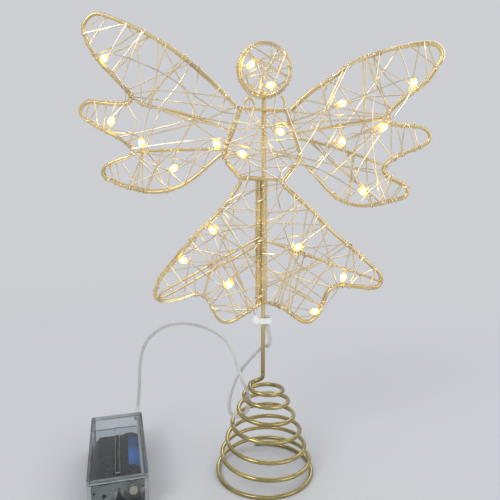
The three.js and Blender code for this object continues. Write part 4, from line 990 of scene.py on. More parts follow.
# Places in the figure's plane that each strand runs through: across and up, in tenths of a
# millimetre
STRANDS = {
    "left_wing_lacing": [
        (-979, 2557, -876, 2632), (-948, 2497, -859, 2636), (-971, 2542, -749, 2589),
        (-920, 2444, -798, 2494, -690, 2550), (-838, 2454, -751, 2586),
        (-834, 2449, -738, 2486, -630, 2537), (-842, 2344, -660, 2544), (-836, 2341, -626, 2533),
        (-781, 2296, -692, 2501, -667, 2551), (-743, 2598, -714, 2523, -698, 2414, -679, 2177),
        (-749, 2263, -598, 2318, -413, 2377), (-593, 2501, -597, 2355, -641, 2174),
        (-536, 2486, -598, 2326, -686, 1973, -701, 1865), (-581, 2501, -512, 2385, -379, 2102),
        (-450, 2417, -513, 2355, -592, 2252), (-413, 2377, -484, 2281, -579, 2170, -697, 1873),
        (-443, 2392, -592, 2259), (-371, 2363, -393, 2177), (-253, 2252, -371, 2117),
        (-215, 2233, -239, 2162, -255, 2095), (-731, 2237, -600, 2246, -438, 2235, -207, 2203),
        (-732, 2216, -516, 2192, -142, 2155), (-748, 2203, -679, 2174, -394, 2095, -177, 2026),
        (-679, 2174, -495, 2132, -317, 2095, -138, 2053), (-641, 2159, -403, 2072, -295, 2003),
        (-595, 2132, -426, 2095, -177, 2030), (-704, 2479, -783, 2296),
        (-406, 2079, -499, 1935, -533, 1834, -559, 1717),
        (-414, 2064, -483, 1950, -611, 1834, -679, 1685), (-738, 2026, -598, 2049, -403, 2068),
        (-742, 1935, -522, 1965, -302, 1992), (-738, 1915, -523, 1921, -280, 1921),
        (-711, 1911, -469, 1873, -359, 1854), (-742, 1923, -681, 1865, -549, 1815, -464, 1741),
        (-742, 1919, -689, 1857, -605, 1764, -543, 1717), (-648, 1911, -619, 1834, -574, 1741),
        (-882, 1857, -851, 1748), (-846, 1869, -820, 1733), (-815, 1861, -762, 1795, -718, 1709),
        (-713, 1857, -780, 1733), (-689, 1857, -694, 1693), (-611, 1834, -671, 1685),
        (-780, 1725, -652, 1780, -477, 1834, -296, 1911), (-499, 1950, -533, 1826, -555, 1713),
        (-415, 1826, -452, 1741), (-314, 1973, -351, 1842, -372, 1787), (-961, 2174, -988, 2095),
        (-915, 2168, -975, 2102), (-946, 2176, -926, 2057), (-882, 2174, -899, 2057),
        (-823, 2162, -874, 2049), (-792, 2166, -866, 2053), (-761, 2166, -713, 2079, -739, 2011),
        (-862, 2045, -816, 2022, -746, 2022), (-154, 2155, -201, 2057, -248, 1973),
        (-748, 2207, -595, 2159, -177, 2038), (-216, 2132, -356, 2079, -418, 2064),
    ],
    "right_wing_lacing": [
        (766, 2470, 928, 2368), (838, 2481, 808, 2309, 774, 2220), (854, 2496, 876, 2302),
        (872, 2493, 931, 2379), (716, 2461, 775, 2272), (585, 2425, 662, 2324, 774, 2228),
        (522, 2395, 630, 2357, 783, 2283), (555, 2418, 598, 2294, 688, 2145),
        (540, 2412, 611, 2250), (582, 2423, 634, 2257), (548, 2405, 543, 2205, 540, 2070),
        (543, 2205, 556, 1948, 579, 1731, 607, 1612), (598, 2294, 584, 2145, 591, 1948, 626, 1754),
        (348, 2291, 426, 2265, 551, 2214, 688, 2157), (446, 2379, 395, 2272),
        (427, 2364, 380, 2272, 351, 2175), (457, 2386, 387, 2294),
        (410, 2265, 515, 2115, 588, 2032, 703, 1902), (301, 2266, 328, 2175, 365, 2062),
        (360, 2283, 290, 2138), (196, 2198, 320, 2172, 523, 2130, 666, 2115),
        (177, 2175, 260, 2070, 420, 1902), (164, 2187, 178, 2100, 193, 1986),
        (162, 2179, 148, 2024), (116, 2138, 353, 2114, 667, 2106),
        (15, 2061, 151, 2071, 400, 2091, 667, 2099), (147, 2079, 244, 2115, 382, 2175),
        (428, 2175, 551, 2216, 773, 2246), (199, 2013, 293, 1971, 498, 1910, 665, 1855),
        (247, 1956, 366, 1863, 544, 1723), (278, 1948, 406, 1840, 535, 1746),
        (193, 1883, 296, 1863, 485, 1832, 651, 1813), (281, 1821, 342, 1902, 403, 1948),
        (312, 1750, 467, 1902, 668, 2089), (321, 1754, 406, 1832, 597, 2002),
        (324, 2002, 449, 1986, 664, 2074), (205, 1898, 269, 2024, 358, 2205),
        (224, 1906, 292, 2032), (281, 1828, 341, 1956, 399, 2100),
        (411, 1652, 503, 1770, 562, 1871), (431, 1648, 536, 1711, 656, 1776),
        (469, 1620, 479, 1762), (527, 1624, 588, 1707, 692, 1776),
        (400, 2070, 451, 1933, 544, 1731, 603, 1611), (402, 2145, 465, 1963),
        (543, 2100, 505, 1948, 487, 1778), (610, 1979, 539, 1863, 473, 1715),
        (694, 2062, 699, 1886), (715, 2066, 769, 1902), (775, 2040, 758, 1898),
        (782, 2047, 835, 1929), (820, 2070, 859, 1940), (700, 1770, 681, 1691, 701, 1644),
        (765, 1739, 705, 1644), (628, 1754, 674, 1644), (540, 1731, 658, 1640),
        (683, 1762, 642, 1636), (779, 1737, 739, 1636), (207, 2017, 401, 2047, 667, 2091),
        (199, 2002, 325, 1959, 662, 1844), (580, 2032, 480, 1994, 341, 1948),
        (296, 1863, 402, 2002, 529, 2183), (671, 2100, 603, 2055, 589, 2002),
        (114, 1902, 205, 1886, 406, 1840),
    ],
    "torso_lacing": [
        (-152, 2070, -19, 2055, 155, 2068), (-144, 2024, -12, 2051, 50, 2070),
        (-148, 1977, -19, 2024), (-191, 1963, -27, 1923, 177, 1883),
        (-97, 1900, 91, 1923, 200, 1952), (-89, 1898, 91, 1894, 189, 1879),
        (-137, 1805, 13, 1832, 166, 1841), (-153, 1789, -18, 1776, 92, 1746),
        (-105, 1871, -3, 1809, 92, 1748), (-129, 1821, -43, 1948, -12, 2040), (3, 2134, 152, 2036),
        (-97, 2145, -16, 2059), (-62, 2145, -113, 2024, -168, 1948),
        (-124, 2145, -58, 2085, 160, 2002), (4, 1990, 91, 1871, 143, 1831), (75, 1963, 127, 1863),
        (64, 1848, 94, 1762), (-199, 1940, -66, 1971, 176, 2002),
        (-176, 1902, -11, 1863, 165, 1925), (11, 2108, 112, 2145), (23, 2130, 89, 2070),
        (-160, 1863, -82, 1963, 4, 2108),
    ],
    "head_lacing": [
        (-77, 2463, 7, 2424, 131, 2373), (-106, 2447, -58, 2421, -2, 2394, 132, 2326),
        (-117, 2431, -64, 2403), (-42, 2408, 20, 2430, 107, 2445), (29, 2396, 102, 2431),
        (35, 2480, 14, 2397, -33, 2295, -36, 2222), (23, 2433, 11, 2358, -20, 2325, -20, 2280),
        (-144, 2397, -118, 2331, -89, 2277, -48, 2220),
        (-147, 2306, -27, 2328, 61, 2352, 134, 2373), (-144, 2290, -77, 2277, -11, 2265),
        (-100, 2235, -48, 2258, -11, 2269), (58, 2349, 40, 2286),
        (-49, 2385, -20, 2343, 27, 2283, 73, 2233), (129, 2301, 87, 2289, 49, 2272, -14, 2265),
        (121, 2275, 62, 2269), (63, 2472, 48, 2439, 29, 2397), (95, 2430, 73, 2373),
        (-103, 2445, -52, 2397), (-58, 2280, -27, 2319), (-70, 2234, -33, 2265),
    ],
    "skirt_lacing": [
        (-229, 1584, -50, 1584), (-263, 1504, -47, 1512), (-264, 1462, -146, 1489, -41, 1507),
        (-238, 1600, -121, 1673, 24, 1719), (-213, 1643, -115, 1698, -41, 1715),
        (-151, 1716, -102, 1612, -50, 1527), (-201, 1569, -109, 1510, -50, 1467),
        (-226, 1576, -164, 1501, -65, 1415), (-256, 1581, -214, 1510),
        (-161, 1667, -183, 1569, -233, 1451, -368, 1103), (-201, 1510, -284, 1319, -349, 1102),
        (-226, 1510, -146, 1392, -46, 1160), (-378, 1457, -290, 1300, -244, 1173),
        (-413, 1409, -340, 1312), (-289, 1436, -265, 1344), (-461, 1371, -296, 1343),
        (-428, 1297, -328, 1293, -197, 1263, -46, 1259), (-576, 1230, -428, 1261, -315, 1287),
        (-265, 1337, -190, 1314, -46, 1327), (-264, 1445, -202, 1326, -172, 1237),
        (-270, 1457, -121, 1363, -46, 1313), (-409, 1367, -447, 1256, -472, 1087),
        (-536, 1265, -480, 1179, -411, 1098), (-598, 1201, -520, 1079), (-436, 1256, -398, 1103),
        (-355, 1098, -228, 1173, -40, 1291), (-324, 1077, -191, 1113, -40, 1160),
        (-309, 1043, -146, 1256, -50, 1401), (-318, 1079, -134, 1275, -50, 1382),
        (-299, 1046, -65, 1038), (-296, 1030, -128, 992), (-287, 1005, -93, 1009),
        (-169, 1217, -122, 1127, -100, 998), (-147, 1192, -109, 1095, -74, 1017),
        (-256, 1278, -115, 1102), (-216, 1111, -144, 994), (-178, 1166, -100, 1024),
        (-115, 1338, -46, 1281), (-312, 1532, -227, 1451, -190, 1319),
        (-227, 1319, -316, 1256, -368, 1102), (-353, 1300, -290, 1344, -47, 1401),
        (-5, 1713, 99, 1735), (7, 1692, 102, 1728), (102, 1728, 63, 1643, 8, 1526),
        (176, 1646, 94, 1557, 11, 1464), (192, 1606, 106, 1569, 2, 1519), (8, 1578, 236, 1577),
        (2, 1510, 339, 1503), (186, 1600, 37, 1417), (229, 1592, 207, 1423), (286, 1544, 238, 1432),
        (292, 1533, 325, 1448), (312, 1482, 232, 1426), (354, 1482, 248, 1255, 205, 1175),
        (154, 1473, 152, 1388, 129, 1230), (220, 1407, 190, 1319, 142, 1192),
        (-10, 1294, 133, 1369), (453, 1402, 241, 1261, 110, 1185),
        (466, 1382, 291, 1275, 148, 1217), (524, 1339, 390, 1311, 241, 1262, 10, 1184),
        (233, 1382, 451, 1388), (408, 1297, 299, 1198, 168, 1090),
        (109, 1357, 191, 1281, 385, 1163), (37, 1322, 141, 1224, 336, 1068),
        (9, 1290, 129, 1166, 244, 1082, 321, 1029), (9, 1238, 268, 1172, 385, 1147),
        (16, 1185, 174, 1114, 321, 1042), (29, 1075, 110, 1172, 151, 1217), (45, 1059, 92, 1172),
        (67, 1048, 110, 1192), (138, 1007, 142, 1127, 154, 1211), (150, 1007, 168, 1101, 186, 1172),
        (166, 985, 244, 1101, 305, 1192), (36, 1035, 245, 1005, 322, 1007), (182, 978, 284, 1005),
        (244, 1088, 329, 1035), (372, 1294, 419, 1156), (476, 1358, 467, 1255, 451, 1159),
        (515, 1327, 475, 1208), (471, 1344, 517, 1271, 585, 1141),
        (552, 1313, 529, 1262, 488, 1166), (498, 1169, 544, 1204, 635, 1263),
        (635, 1252, 601, 1139), (9, 1407, 146, 1382, 371, 1322), (233, 1363, 127, 1344, 9, 1332),
        (337, 1482, 188, 1445, 9, 1401),
    ],
}
EDGES = {
    "left_wing_lacing": ["left_wing_frame"], "right_wing_lacing": ["right_wing_frame"],
    "torso_lacing": ["left_torso_frame", "right_torso_frame"], "head_lacing": ["head_ring"],
    "skirt_lacing": ["left_skirt_frame", "right_skirt_frame"],
}
# How far from its place a strand's end looks for a wire, and the steps in which it reaches on
SNAP_REACH = 4.5 * MM
STRETCH_STEP = 1.5 * MM
STRETCH_STEPS = 29
# How much of a strand's own diameter its middle stands off the wire that it is pulled tight on
SEAT_SHARE = 0.3
WRAP_TURNS = (0.7, 0.8, 1.05)
WRAP_STEPS_PER_TURN = 12
WRAP_LEAST_STEPS = 6
# Least and most that a wrapped turn moves along its wire, in strand diameters
WRAP_PITCH = (1.05, 1.4)
# How far a strand passes in front of or behind the figure's plane
STRAND_DEPTH = 1.0 * MM
STRAND_PLACE_STEP = 5 * MM
STRAND_LEAST_STEPS = 3
STRAND_STEP = 2.2 * MM
# How far a strand bows out of the plane and strays in it, in shares of the wave setting
BOW_SHARE = 1.6
STRAY_SHARE = 0.16
# Least and most of its bow that a strand keeps at one place
BOW_KEPT = (0.2, 1.0)
# A rider's chance of going round its wire, its stride round it and its drift between, both in
# radians, and the steps in a stride
RIDER_CHANCE = 0.025
RIDER_STRIDE = 1.3
RIDER_DRIFT = (-0.02, 0.08)
RIDER_STEPS = 3
# Strands down the rods: how far across and behind, in millimetres
ROD_RUNS = ((-2.55, 4.1), (0.75, 3.9), (-5.45, 2.5))
ROD_RUN_STEPS = 20
# How far a strand down the rods strays across and behind, in millimetres
ROD_STRAY = (0.1, 0.06)
# Ties round both rods: height in millimetres, and turns
ROD_TIES = ((141, 3), (108, 2), (164, 1))
# A tie's middle, and how far it reaches from it, across and behind in millimetres
TIE_MIDDLE = (-2.5, 2.6)
TIE_REACH = (3.6, 2.1)
TIE_TILT = 1.2 * MM
TIE_PITCH = 1.15
TIE_STEPS_PER_TURN = 16


class Wires:
    """The figure's wires, to find the one that a strand ends on."""

    def __init__(self, lines):
        points, along, self.radii, self.depths = [], [], [], []
        for line, radius in lines:
            for i, point in enumerate(line):
                way = way_at(line, i)
                points.append((point.x, point.z))
                along.append((way.x, way.z))
                self.radii.append(radius)
                self.depths.append(point.y)
        self.points = np.array(points)
        self.along = np.array(along)

    def nearest(self, spot, reach):
        """The place, the way and the radius of the nearest wire, if one is within reach."""
        gaps = np.hypot(self.points[:, 0] - spot.x, self.points[:, 1] - spot.z)
        i = int(np.argmin(gaps))
        if gaps[i] > reach:
            return None
        (x, z), (way_x, way_z) = self.points[i], self.along[i]
        way = Vector((float(way_x), 0, float(way_z))).normalized()
        return Vector((float(x), self.depths[i], float(z))), way, self.radii[i]


def held_end(wires, spot, before):
    """The wire that a strand's end is wrapped on, straight on from the end if none is beside it."""
    way = (spot - before).normalized()
    hold = wires.nearest(spot, SNAP_REACH)
    for step in range(1, STRETCH_STEPS + 1):
        hold = hold or wires.nearest(spot + way * step * STRETCH_STEP, STRETCH_STEP)
    return hold


def wrap(hold, other, side, strand, turns, rng):
    """Turns of a strand round its wire, from where it leaves the wire to its cut end."""
    middle, way, radius = hold
    out = Vector((-way.z, 0, way.x))
    if out.dot(other - middle) > 0:
        out.negate()
    reach = radius + strand * SEAT_SHARE
    steps = max(WRAP_LEAST_STEPS, round(turns * WRAP_STEPS_PER_TURN))
    pitch = strand * rng.uniform(*WRAP_PITCH) * rng.choice((-1, 1))
    coil = []
    for i in range(steps + 1):
        run = turns * i / steps
        angle = side * (math.pi / 2 - FULL_TURN * run)
        round_wire = out * math.cos(angle) + Vector((0, math.sin(angle), 0))
        coil.append(middle + round_wire * reach + way * pitch * run)
    return coil


def strand_line(row, wires, side, lacing, rng):
    """One strand, wrapped on its first wire, straight across, and wrapped on its last."""
    spots = [Vector((x / 10 * MM, 0, z / 10 * MM)) for x, z in zip(row[::2], row[1::2])]
    ends = []
    for spot, inner in ((spots[0], spots[1]), (spots[-1], spots[-2])):
        hold = held_end(wires, spot, inner)
        turns = rng.choice(WRAP_TURNS)
        ends.append(wrap(hold, inner, side, lacing.strand, turns, rng) if hold else [spot])
    start, end = list(reversed(ends[0])), ends[1]
    body = []
    anchors = [start[-1], *spots[1:-1], end[0]]
    for i, (a, b) in enumerate(zip(anchors, anchors[1:])):
        steps = max(STRAND_LEAST_STEPS, round((b - a).length / STRAND_PLACE_STEP))
        for k in range(0 if i else 1, steps):
            ease = math.sin(math.pi * (i + k / steps) / (len(spots) - 1))
            bow = lacing.wave * BOW_SHARE * ease * rng.uniform(*BOW_KEPT)
            spot = a.lerp(b, k / steps)
            spot.y = side * (STRAND_DEPTH + lacing.strand * 0.5 + bow)
            stray = Vector((rng.gauss(0, 1), 0, rng.gauss(0, 1)))
            spot += stray * lacing.wave * STRAY_SHARE * ease
            body.append(spot)
    return start + (smooth(body, STRAND_STEP) if len(body) > 2 else body) + end


def rider(line, rng, radius):
    """A strand that lies along an edge wire and goes round it now and then."""
    angle = rng.uniform(0, FULL_TURN)
    points = []
    turning = 0.0
    for i, point in enumerate(line):
        ahead = line[min(i + 1, len(line) - 1)]
        across = way_at(line, i).normalized().cross(Vector((0, 1, 0))).normalized()
        if turning <= 0 and rng.random() < RIDER_CHANCE:
            turning = FULL_TURN
        if turning > 0:
            stride, steps = RIDER_STRIDE, RIDER_STEPS
            turning -= stride
        else:
            stride, steps = rng.uniform(*RIDER_DRIFT), 1
        for k in range(steps):
            angle += stride / steps
            points.append(
                point.lerp(ahead, k / steps) + across * math.cos(angle) * radius
                + Vector((0, math.sin(angle) * radius, 0)))
    return points


def rod_strands(rng, strand):
    """Strands that run down the two rods, and turns that tie the rods together."""
    low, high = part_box("support_rod")
    strands = []
    for across, deep in ROD_RUNS:
        strands.append([
            Vector((
                across * MM + rng.gauss(0, ROD_STRAY[0]) * MM,
                deep * MM + rng.gauss(0, ROD_STRAY[1]) * MM,
                low.z + (high.z - low.z) * i / ROD_RUN_STEPS))
            for i in range(ROD_RUN_STEPS + 1)])
    for height, turns in ROD_TIES:
        tie = []
        for k in range(TIE_STEPS_PER_TURN * turns + 1):
            angle = FULL_TURN * k / TIE_STEPS_PER_TURN
            climb = strand * TIE_PITCH * k / TIE_STEPS_PER_TURN
            tie.append(Vector((
                (TIE_MIDDLE[0] + TIE_REACH[0] * math.cos(angle)) * MM,
                (TIE_MIDDLE[1] + TIE_REACH[1] * math.sin(angle)) * MM,
                height * MM + climb + TIE_TILT * math.cos(angle))))
        strands.append(tie)
    return strands


class ANGEL_OT_lacing(bpy.types.Operator):
    """Lace the wings, torso, head and skirt with fine wire"""
    bl_idname = "angel.lacing"
    bl_label = "Lacing"

    def execute(self, context):
        wires, lacing = settings("wires"), settings("lacing")
        lines = outlines()
        half = wires.frame_wire / 2
        held = [(line, half) for line in lines.values()]
        for size, shares in RIB_SHARES.values():
            held.append((figure_line(shares, size, RIB_DEPTH), wires.rib_wire / 2))
        for name, diameter in bars().items():
            held.append((bar_line(name, diameter), diameter / 2))
        figure = Wires(held)
        rng = random.Random(lacing.seed)
        for name, rows in STRANDS.items():
            runs = [
                strand_line(row, figure, 1 if i % 2 else -1, lacing, rng)
                for i, row in enumerate(rows)]
            runs += [rider(lines[edge], rng, half + lacing.strand / 2) for edge in EDGES[name]]
            if name == "skirt_lacing":
                runs += rod_strands(rng, lacing.strand)
            piece = swept(name + "_strands", runs, lacing.strand, FINE_SIDES, "pale_gold")
            place(piece, FIGURE, "pale_gold_wire", name)
        return {"FINISHED"}


# Lights

HALF_SPAN = 100 * MM
HEM_TO_TIP = 160 * MM
HEM_LEVEL = 105 * MM
LIGHT_DEPTH = -2.55 * MM
LAMP_DEPTH = -3.1 * MM
# Share of half the span, share of the way from hem to tip, and 1 where a lamp is
LIGHT_STOP_SHARES = [
    (-0.059, -0.042, 0), (-0.085, 0.0, 0), (-0.208, 0.073, 1), (-0.47, 0.161, 1), (-0.3, 0.269, 1),
    (-0.15, 0.385, 0), (-0.095, 0.455, 0), (-0.131, 0.534, 1), (-0.272, 0.568, 1),
    (-0.513, 0.485, 1), (-0.686, 0.572, 1), (-0.849, 0.644, 1), (-0.765, 0.718, 0),
    (-0.82, 0.8, 0), (-0.874, 0.85, 1), (-0.6, 0.815, 0), (-0.22, 0.672, 0), (-0.1, 0.688, 0),
    (-0.084, 0.829, 1), (0.024, 0.763, 1), (0.045, 0.69, 0), (0.078, 0.609, 1),
    (0.413, 0.703, 1), (0.798, 0.769, 1), (0.642, 0.623, 1), (0.418, 0.576, 1),
    (0.541, 0.406, 1), (0.26, 0.49, 0), (0.12, 0.49, 0), (0.065, 0.44, 0), (0.08, 0.35, 0),
    (0.184, 0.209, 1), (0.446, 0.1, 1), (0.287, -0.026, 1),
]
# Turn of each lamp in the figure's plane, from level, in the order of the stops
LAMP_TURNS = (50, 170, 135, 160, 130, 30, 105, 70, 45, 45, 5, 160, 15, 80, 40, 100, 130, 30, 75, 5)
# Outline of a lamp's drop: share of its half length, and share of its radius
DROP_SHARES = [
    (-1.0, 0.16), (-0.86, 0.3), (-0.66, 0.62), (-0.4, 0.9), (-0.1, 1.0), (0.2, 0.98),
    (0.46, 0.82), (0.7, 0.52), (0.88, 0.26), (1.0, 0.15),
]
DROP_SIDES = 14
DROP_FLATNESS = 0.88
# Where along a drop, in shares of its length, its light ends, and how steeply it falls off there
LIT_REACH = 0.48
LIT_FALL = 1.5
LIGHT_WIRE_STEP = 1.0 * MM
# How far to both sides of its middle a lamp keeps its wire straight, in shares of its length
LAMP_HOLD = 0.45
# How fast the two light wires twist from step to step, and how unevenly, in radians
TWIST = 0.22
TWIST_STRAY = 0.05
# How far each stands from their middle, in wire diameters, and how that is shared out over
# across, back and up
PAIR_REACH = 0.62
PAIR_LEAN = (1, 0.8, 0.6)


def light_stops():
    """Each stop of the light wire, with the way that its lamp points or None."""
    stops = [
        (Vector((x * HALF_SPAN, LAMP_DEPTH if lamp else LIGHT_DEPTH, HEM_LEVEL + z * HEM_TO_TIP)),
         lamp)
        for x, z, lamp in LIGHT_STOP_SHARES]
    places = [spot for spot, _ in stops]
    turns = iter(LAMP_TURNS)
    aimed = []
    for i, (spot, lamp) in enumerate(stops):
        aim = None
        if lamp:
            turn = math.radians(next(turns))
            aim = Vector((math.cos(turn), 0, math.sin(turn)))
            if aim.dot(way_at(places, i)) <= 0:
                aim.negate()
        aimed.append((spot, aim))
    return aimed


def drop_mesh(length, diameter):
    """One lamp's resin drop, lit most over its chip."""
    rows = [(a * length / 2, r * diameter / 2) for a, r in DROP_SHARES]
    points = [(0, 0, rows[0][0])]
    lit = [0.0]
    for along, radius in rows:
        for k in range(DROP_SIDES):
            angle = FULL_TURN * k / DROP_SIDES
            points.append(
                (radius * math.cos(angle), radius * math.sin(angle) * DROP_FLATNESS, along))
            lit.append(max(0.0, 1.0 - (abs(along) / (length * LIT_REACH)) ** LIT_FALL))
    points.append((0, 0, rows[-1][0]))
    lit.append(0.0)
    last = len(points) - 1
    start = last - DROP_SIDES
    pairs = [(k, (k + 1) % DROP_SIDES) for k in range(DROP_SIDES)]
    faces = [
        *((0, 1 + after, 1 + k) for k, after in pairs),
        *ring_quads(len(rows), DROP_SIDES, 1),
        *((last, start + k, start + after) for k, after in pairs)]
    mesh = new_mesh("drop", points, faces=faces)
    mesh.materials.append(material("resin"))
    set_attribute(mesh, "lit_share", "FLOAT", lit)
    return mesh


def drops_tree(template):
    """Sets the drop on every point, aimed along the wire."""
    tree, given = new_tree("Lamps on wire", {
        "Places": "Geometry", "Scale": "Float", "Finish": "Material"}, "Lamps")
    shape = add(tree, "GeometryNodeObjectInfo", {"Object": template}, "Geometry")
    aim = add(
        tree, "GeometryNodeInputNamedAttribute", {"Name": "aim"}, "Attribute",
        data_type="FLOAT_VECTOR")
    turn = add(tree, "FunctionNodeAlignRotationToVector", {"Vector": aim}, "Rotation", axis="Z")
    drops = add(tree, "GeometryNodeInstanceOnPoints", {
        "Points": given["Places"], "Instance": shape, "Rotation": turn, "Scale": given["Scale"]})
    finish_tree(tree, drops, given["Finish"])
    return tree


class ANGEL_OT_lights(bpy.types.Operator):
    """String the twenty lamps on their fine wire"""
    bl_idname = "angel.lights"
    bl_label = "Lights"

    def execute(self, context):
        lamps = settings("lamps")
        stops = light_stops()
        route = []
        for spot, aim in stops:
            if aim is None:
                route.append(spot)
            else:
                half = aim * lamps.length * LAMP_HOLD
                route += [spot - half, spot + half]
        rng = random.Random(settings("lacing").seed + 1)
        pair = [[], []]
        for i, spot in enumerate(smooth(route, LIGHT_WIRE_STEP)):
            angle = i * TWIST + rng.uniform(-TWIST_STRAY, TWIST_STRAY)
            turned = (math.cos(angle), math.sin(angle), math.sin(angle))
            offset = Vector([share * part for share, part in zip(PAIR_LEAN, turned)])
            offset *= lamps.wire * PAIR_REACH
            pair[0].append(spot + offset)
            pair[1].append(spot - offset)
        piece = swept("light_wire_pair", pair, lamps.wire, FINE_SIDES, "light_wire")
        place(piece, FIGURE, "pale_gold_wire", "light_wire")
        template = link_object("drop", drop_mesh(lamps.length, lamps.diameter))
        aimed = [(spot, aim) for spot, aim in stops if aim is not None]
        mesh = new_mesh("lamp_places", [tuple(spot) for spot, _ in aimed])
        set_attribute(mesh, "aim", "FLOAT_VECTOR", [part for _, aim in aimed for part in aim])
        drops = run_tree(link_object("lamp_places", mesh), drops_tree(template), {
            "Scale": 1.0, "Finish": material("resin")}, "lamps")
        bpy.data.objects.remove(template)
        smooth_shading(drops)
        nodes = [f"lamp_{i + 1:02d}" for i in range(len(LAMP_TURNS))]
        place(drops, FIGURE, "lamp_resin", *nodes)
        return {"FINISHED"}


# Softened copies of moulded or cut nodes

BEVEL_SEGMENTS = 3
BEVEL_ANGLE = 35
# The tie's edges are softer, so a flatter corner counts as an edge
TIE_BEVEL_ANGLE = 25
TIE_EDGE = 0.3 * MM
MOULDED_SHARP_ANGLE = 40
# Points closer than this are one, and faces within this many degrees are one
SEAM = 1e-6
FLAT_ANGLE = 1
# The most say that flat faces can have in the shading of the rounded edges beside them
FACE_WEIGHT = 100
# How squarely a face looks along the box, as a cosine: the least for the case's own ends, for
# faces at these ends that get the painted glow, and for the cover's ends
END_SQUARE = 0.99
GLOW_SQUARE = 0.25
LID_SQUARE = 0.9
# How far in front of a side wall its end still gets the painted glow
GLOW_REACH = 0.75 * MM


def paint_glow_on_wall_ends(shape):
    """Gives the painted glow finish to the parts of a clear shell that show a wall end on."""
    to_box = BOX_FRAME.inverted()
    along = BOX_FRAME.to_3x3() @ Vector((0, 1, 0))
    ends = [f for f in shape.faces if abs(f.normal.dot(along)) > END_SQUARE]
    edges = {e for f in ends for e in f.edges}
    verts = {v for f in ends for v in f.verts}
    bmesh.ops.bisect_plane(
        shape, geom=[*ends, *edges, *verts], plane_co=(0, 0, BOX_WALL), plane_no=(0, 0, 1))
    shape.normal_update()
    for face in shape.faces:
        spot = to_box @ face.calc_center_median()
        facing = abs(face.normal.dot(along))
        at_end = min(abs(spot.y), abs(spot.y - BOX_LENGTH)) < BOX_WALL and facing > GLOW_SQUARE
        beside_wall = abs(spot.x) > INNER_HALF - GLOW_REACH or spot.z < BOX_WALL
        lid_edge = spot.z > LID_BOTTOM and facing > LID_SQUARE
        if at_end and beside_wall or lid_edge:
            face.material_index = 1


def softened(node, name, edge, finish, bevel_angle=BEVEL_ANGLE):
    """A copy of a node with its edges rounded."""
    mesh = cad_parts[node].data.copy()
    shape = bmesh.new()
    shape.from_mesh(mesh)
    bmesh.ops.remove_doubles(shape, verts=shape.verts, dist=SEAM)
    bmesh.ops.dissolve_limit(
        shape, angle_limit=math.radians(FLAT_ANGLE), verts=shape.verts, edges=shape.edges)
    mesh.materials.clear()
    mesh.materials.append(material(finish))
    # A clear shell gets a second finish: a painted glow on the wall ends that are seen end on
    if finish == "clear":
        paint_glow_on_wall_ends(shape)
        mesh.materials.append(material("painted_edge_glow"))
    shape.to_mesh(mesh)
    shape.free()
    source = link_object(name + "_sharp", mesh)
    smooth_shading(source, MOULDED_SHARP_ANGLE)
    bevel = source.modifiers.new("Edges", "BEVEL")
    bevel.width = edge
    bevel.segments = BEVEL_SEGMENTS
    bevel.limit_method = "ANGLE"
    bevel.angle_limit = math.radians(bevel_angle)
    bevel.use_clamp_overlap = True
    level = source.modifiers.new("Flat faces", "WEIGHTED_NORMAL")
    level.weight = FACE_WEIGHT
    level.keep_sharp = True
    return plain_mesh(source, name)


class ANGEL_OT_tie(bpy.types.Operator):
    """Tie the lead to the foot of the figure"""
    bl_idname = "angel.tie"
    bl_label = "Tie"

    def execute(self, context):
        piece = softened("lead_tie", "tie", TIE_EDGE, "nylon", TIE_BEVEL_ANGLE)
        place(piece, FIGURE, "white_nylon", "lead_tie")
        return {"FINISHED"}


# Battery box

CELL_LENGTH = 50.5 * MM
CELL_START = 6.0 * MM
CELL_UP = 8.75 * MM
CELL_ACROSS = 7.25 * MM
CELL_SIDES = 40
# Profile of a cell from its flat end: place along it in millimetres, and radius
CELL_PROFILE = [
    (0.0, 0.0), (0.0, 4.4), (0.25, 4.8), (0.25, 6.0), (0.1, 6.5), (0.35, 6.95), (0.9, 7.05),
    (1.6, 7.05), (12.0, 7.05), (24.0, 7.05), (36.0, 7.05), (47.6, 7.05), (48.4, 6.9), (48.8, 6.4),
    (48.9, 5.6), (48.8, 3.4), (48.95, 2.75), (50.2, 2.7), (50.5, 2.4), (50.5, 0.0),
]
# Node, piece, finish, slot, body, and rounding of its edges. None takes the box's own rounding
BOX_PIECES = (
    ("battery_case", "case_shell", "clear", "clear_plastic", BASE, None),
    ("battery_cover", "sliding_cover", "clear", "clear_plastic", "cover", 0.25 * MM),
    ("circuit_board", "board", "board", "board_laminate", BASE, 0.12 * MM),
    ("push_button", "button", "button", "button_plastic", "button", 0.25 * MM),
    ("contact_left", "contact_plate_left", "contact", "contact_steel", BASE, 0.08 * MM),
    ("contact_right", "contact_plate_right", "contact", "contact_steel", BASE, 0.08 * MM),
    ("cell_bridge", "bridge_plate", "bridge", "contact_steel", BASE, 0.08 * MM),
    ("lead_gland", "gland", "lead", "lead_vinyl", BASE, 0.25 * MM),
)
# The lead's run inside the case: where it starts, how far it goes, its diameter and steps
INNER_START = 6.0 * MM
INNER_RUN = BOX_LENGTH - 8.0 * MM
INNER_DIAMETER = 1.5 * MM
INNER_STEPS = 40


def cell_mesh(name, finish):
    """A cell turned from its profile, with the shares that its finish reads on its points."""
    points, along, outer = [], [], []
    for place_along, radius in CELL_PROFILE:
        for k in range(CELL_SIDES):
            angle = FULL_TURN * k / CELL_SIDES
            points.append((
                radius * MM * math.cos(angle), place_along * MM, radius * MM * math.sin(angle)))
            along.append(place_along * MM / CELL_LENGTH)
            outer.append(-math.cos(angle))
    faces = [(a, d, c, b) for a, b, c, d in ring_quads(len(CELL_PROFILE), CELL_SIDES)]
    mesh = new_mesh(name, points, faces=faces)
    set_attribute(mesh, "along", "FLOAT", along)
    set_attribute(mesh, "outer", "FLOAT", outer)
    shape = bmesh.new()
    shape.from_mesh(mesh)
    bmesh.ops.remove_doubles(shape, verts=shape.verts, dist=SEAM)
    bmesh.ops.recalc_face_normals(shape, faces=shape.faces)
    shape.to_mesh(mesh)
    shape.free()
    mesh.materials.append(material(finish))
    return mesh


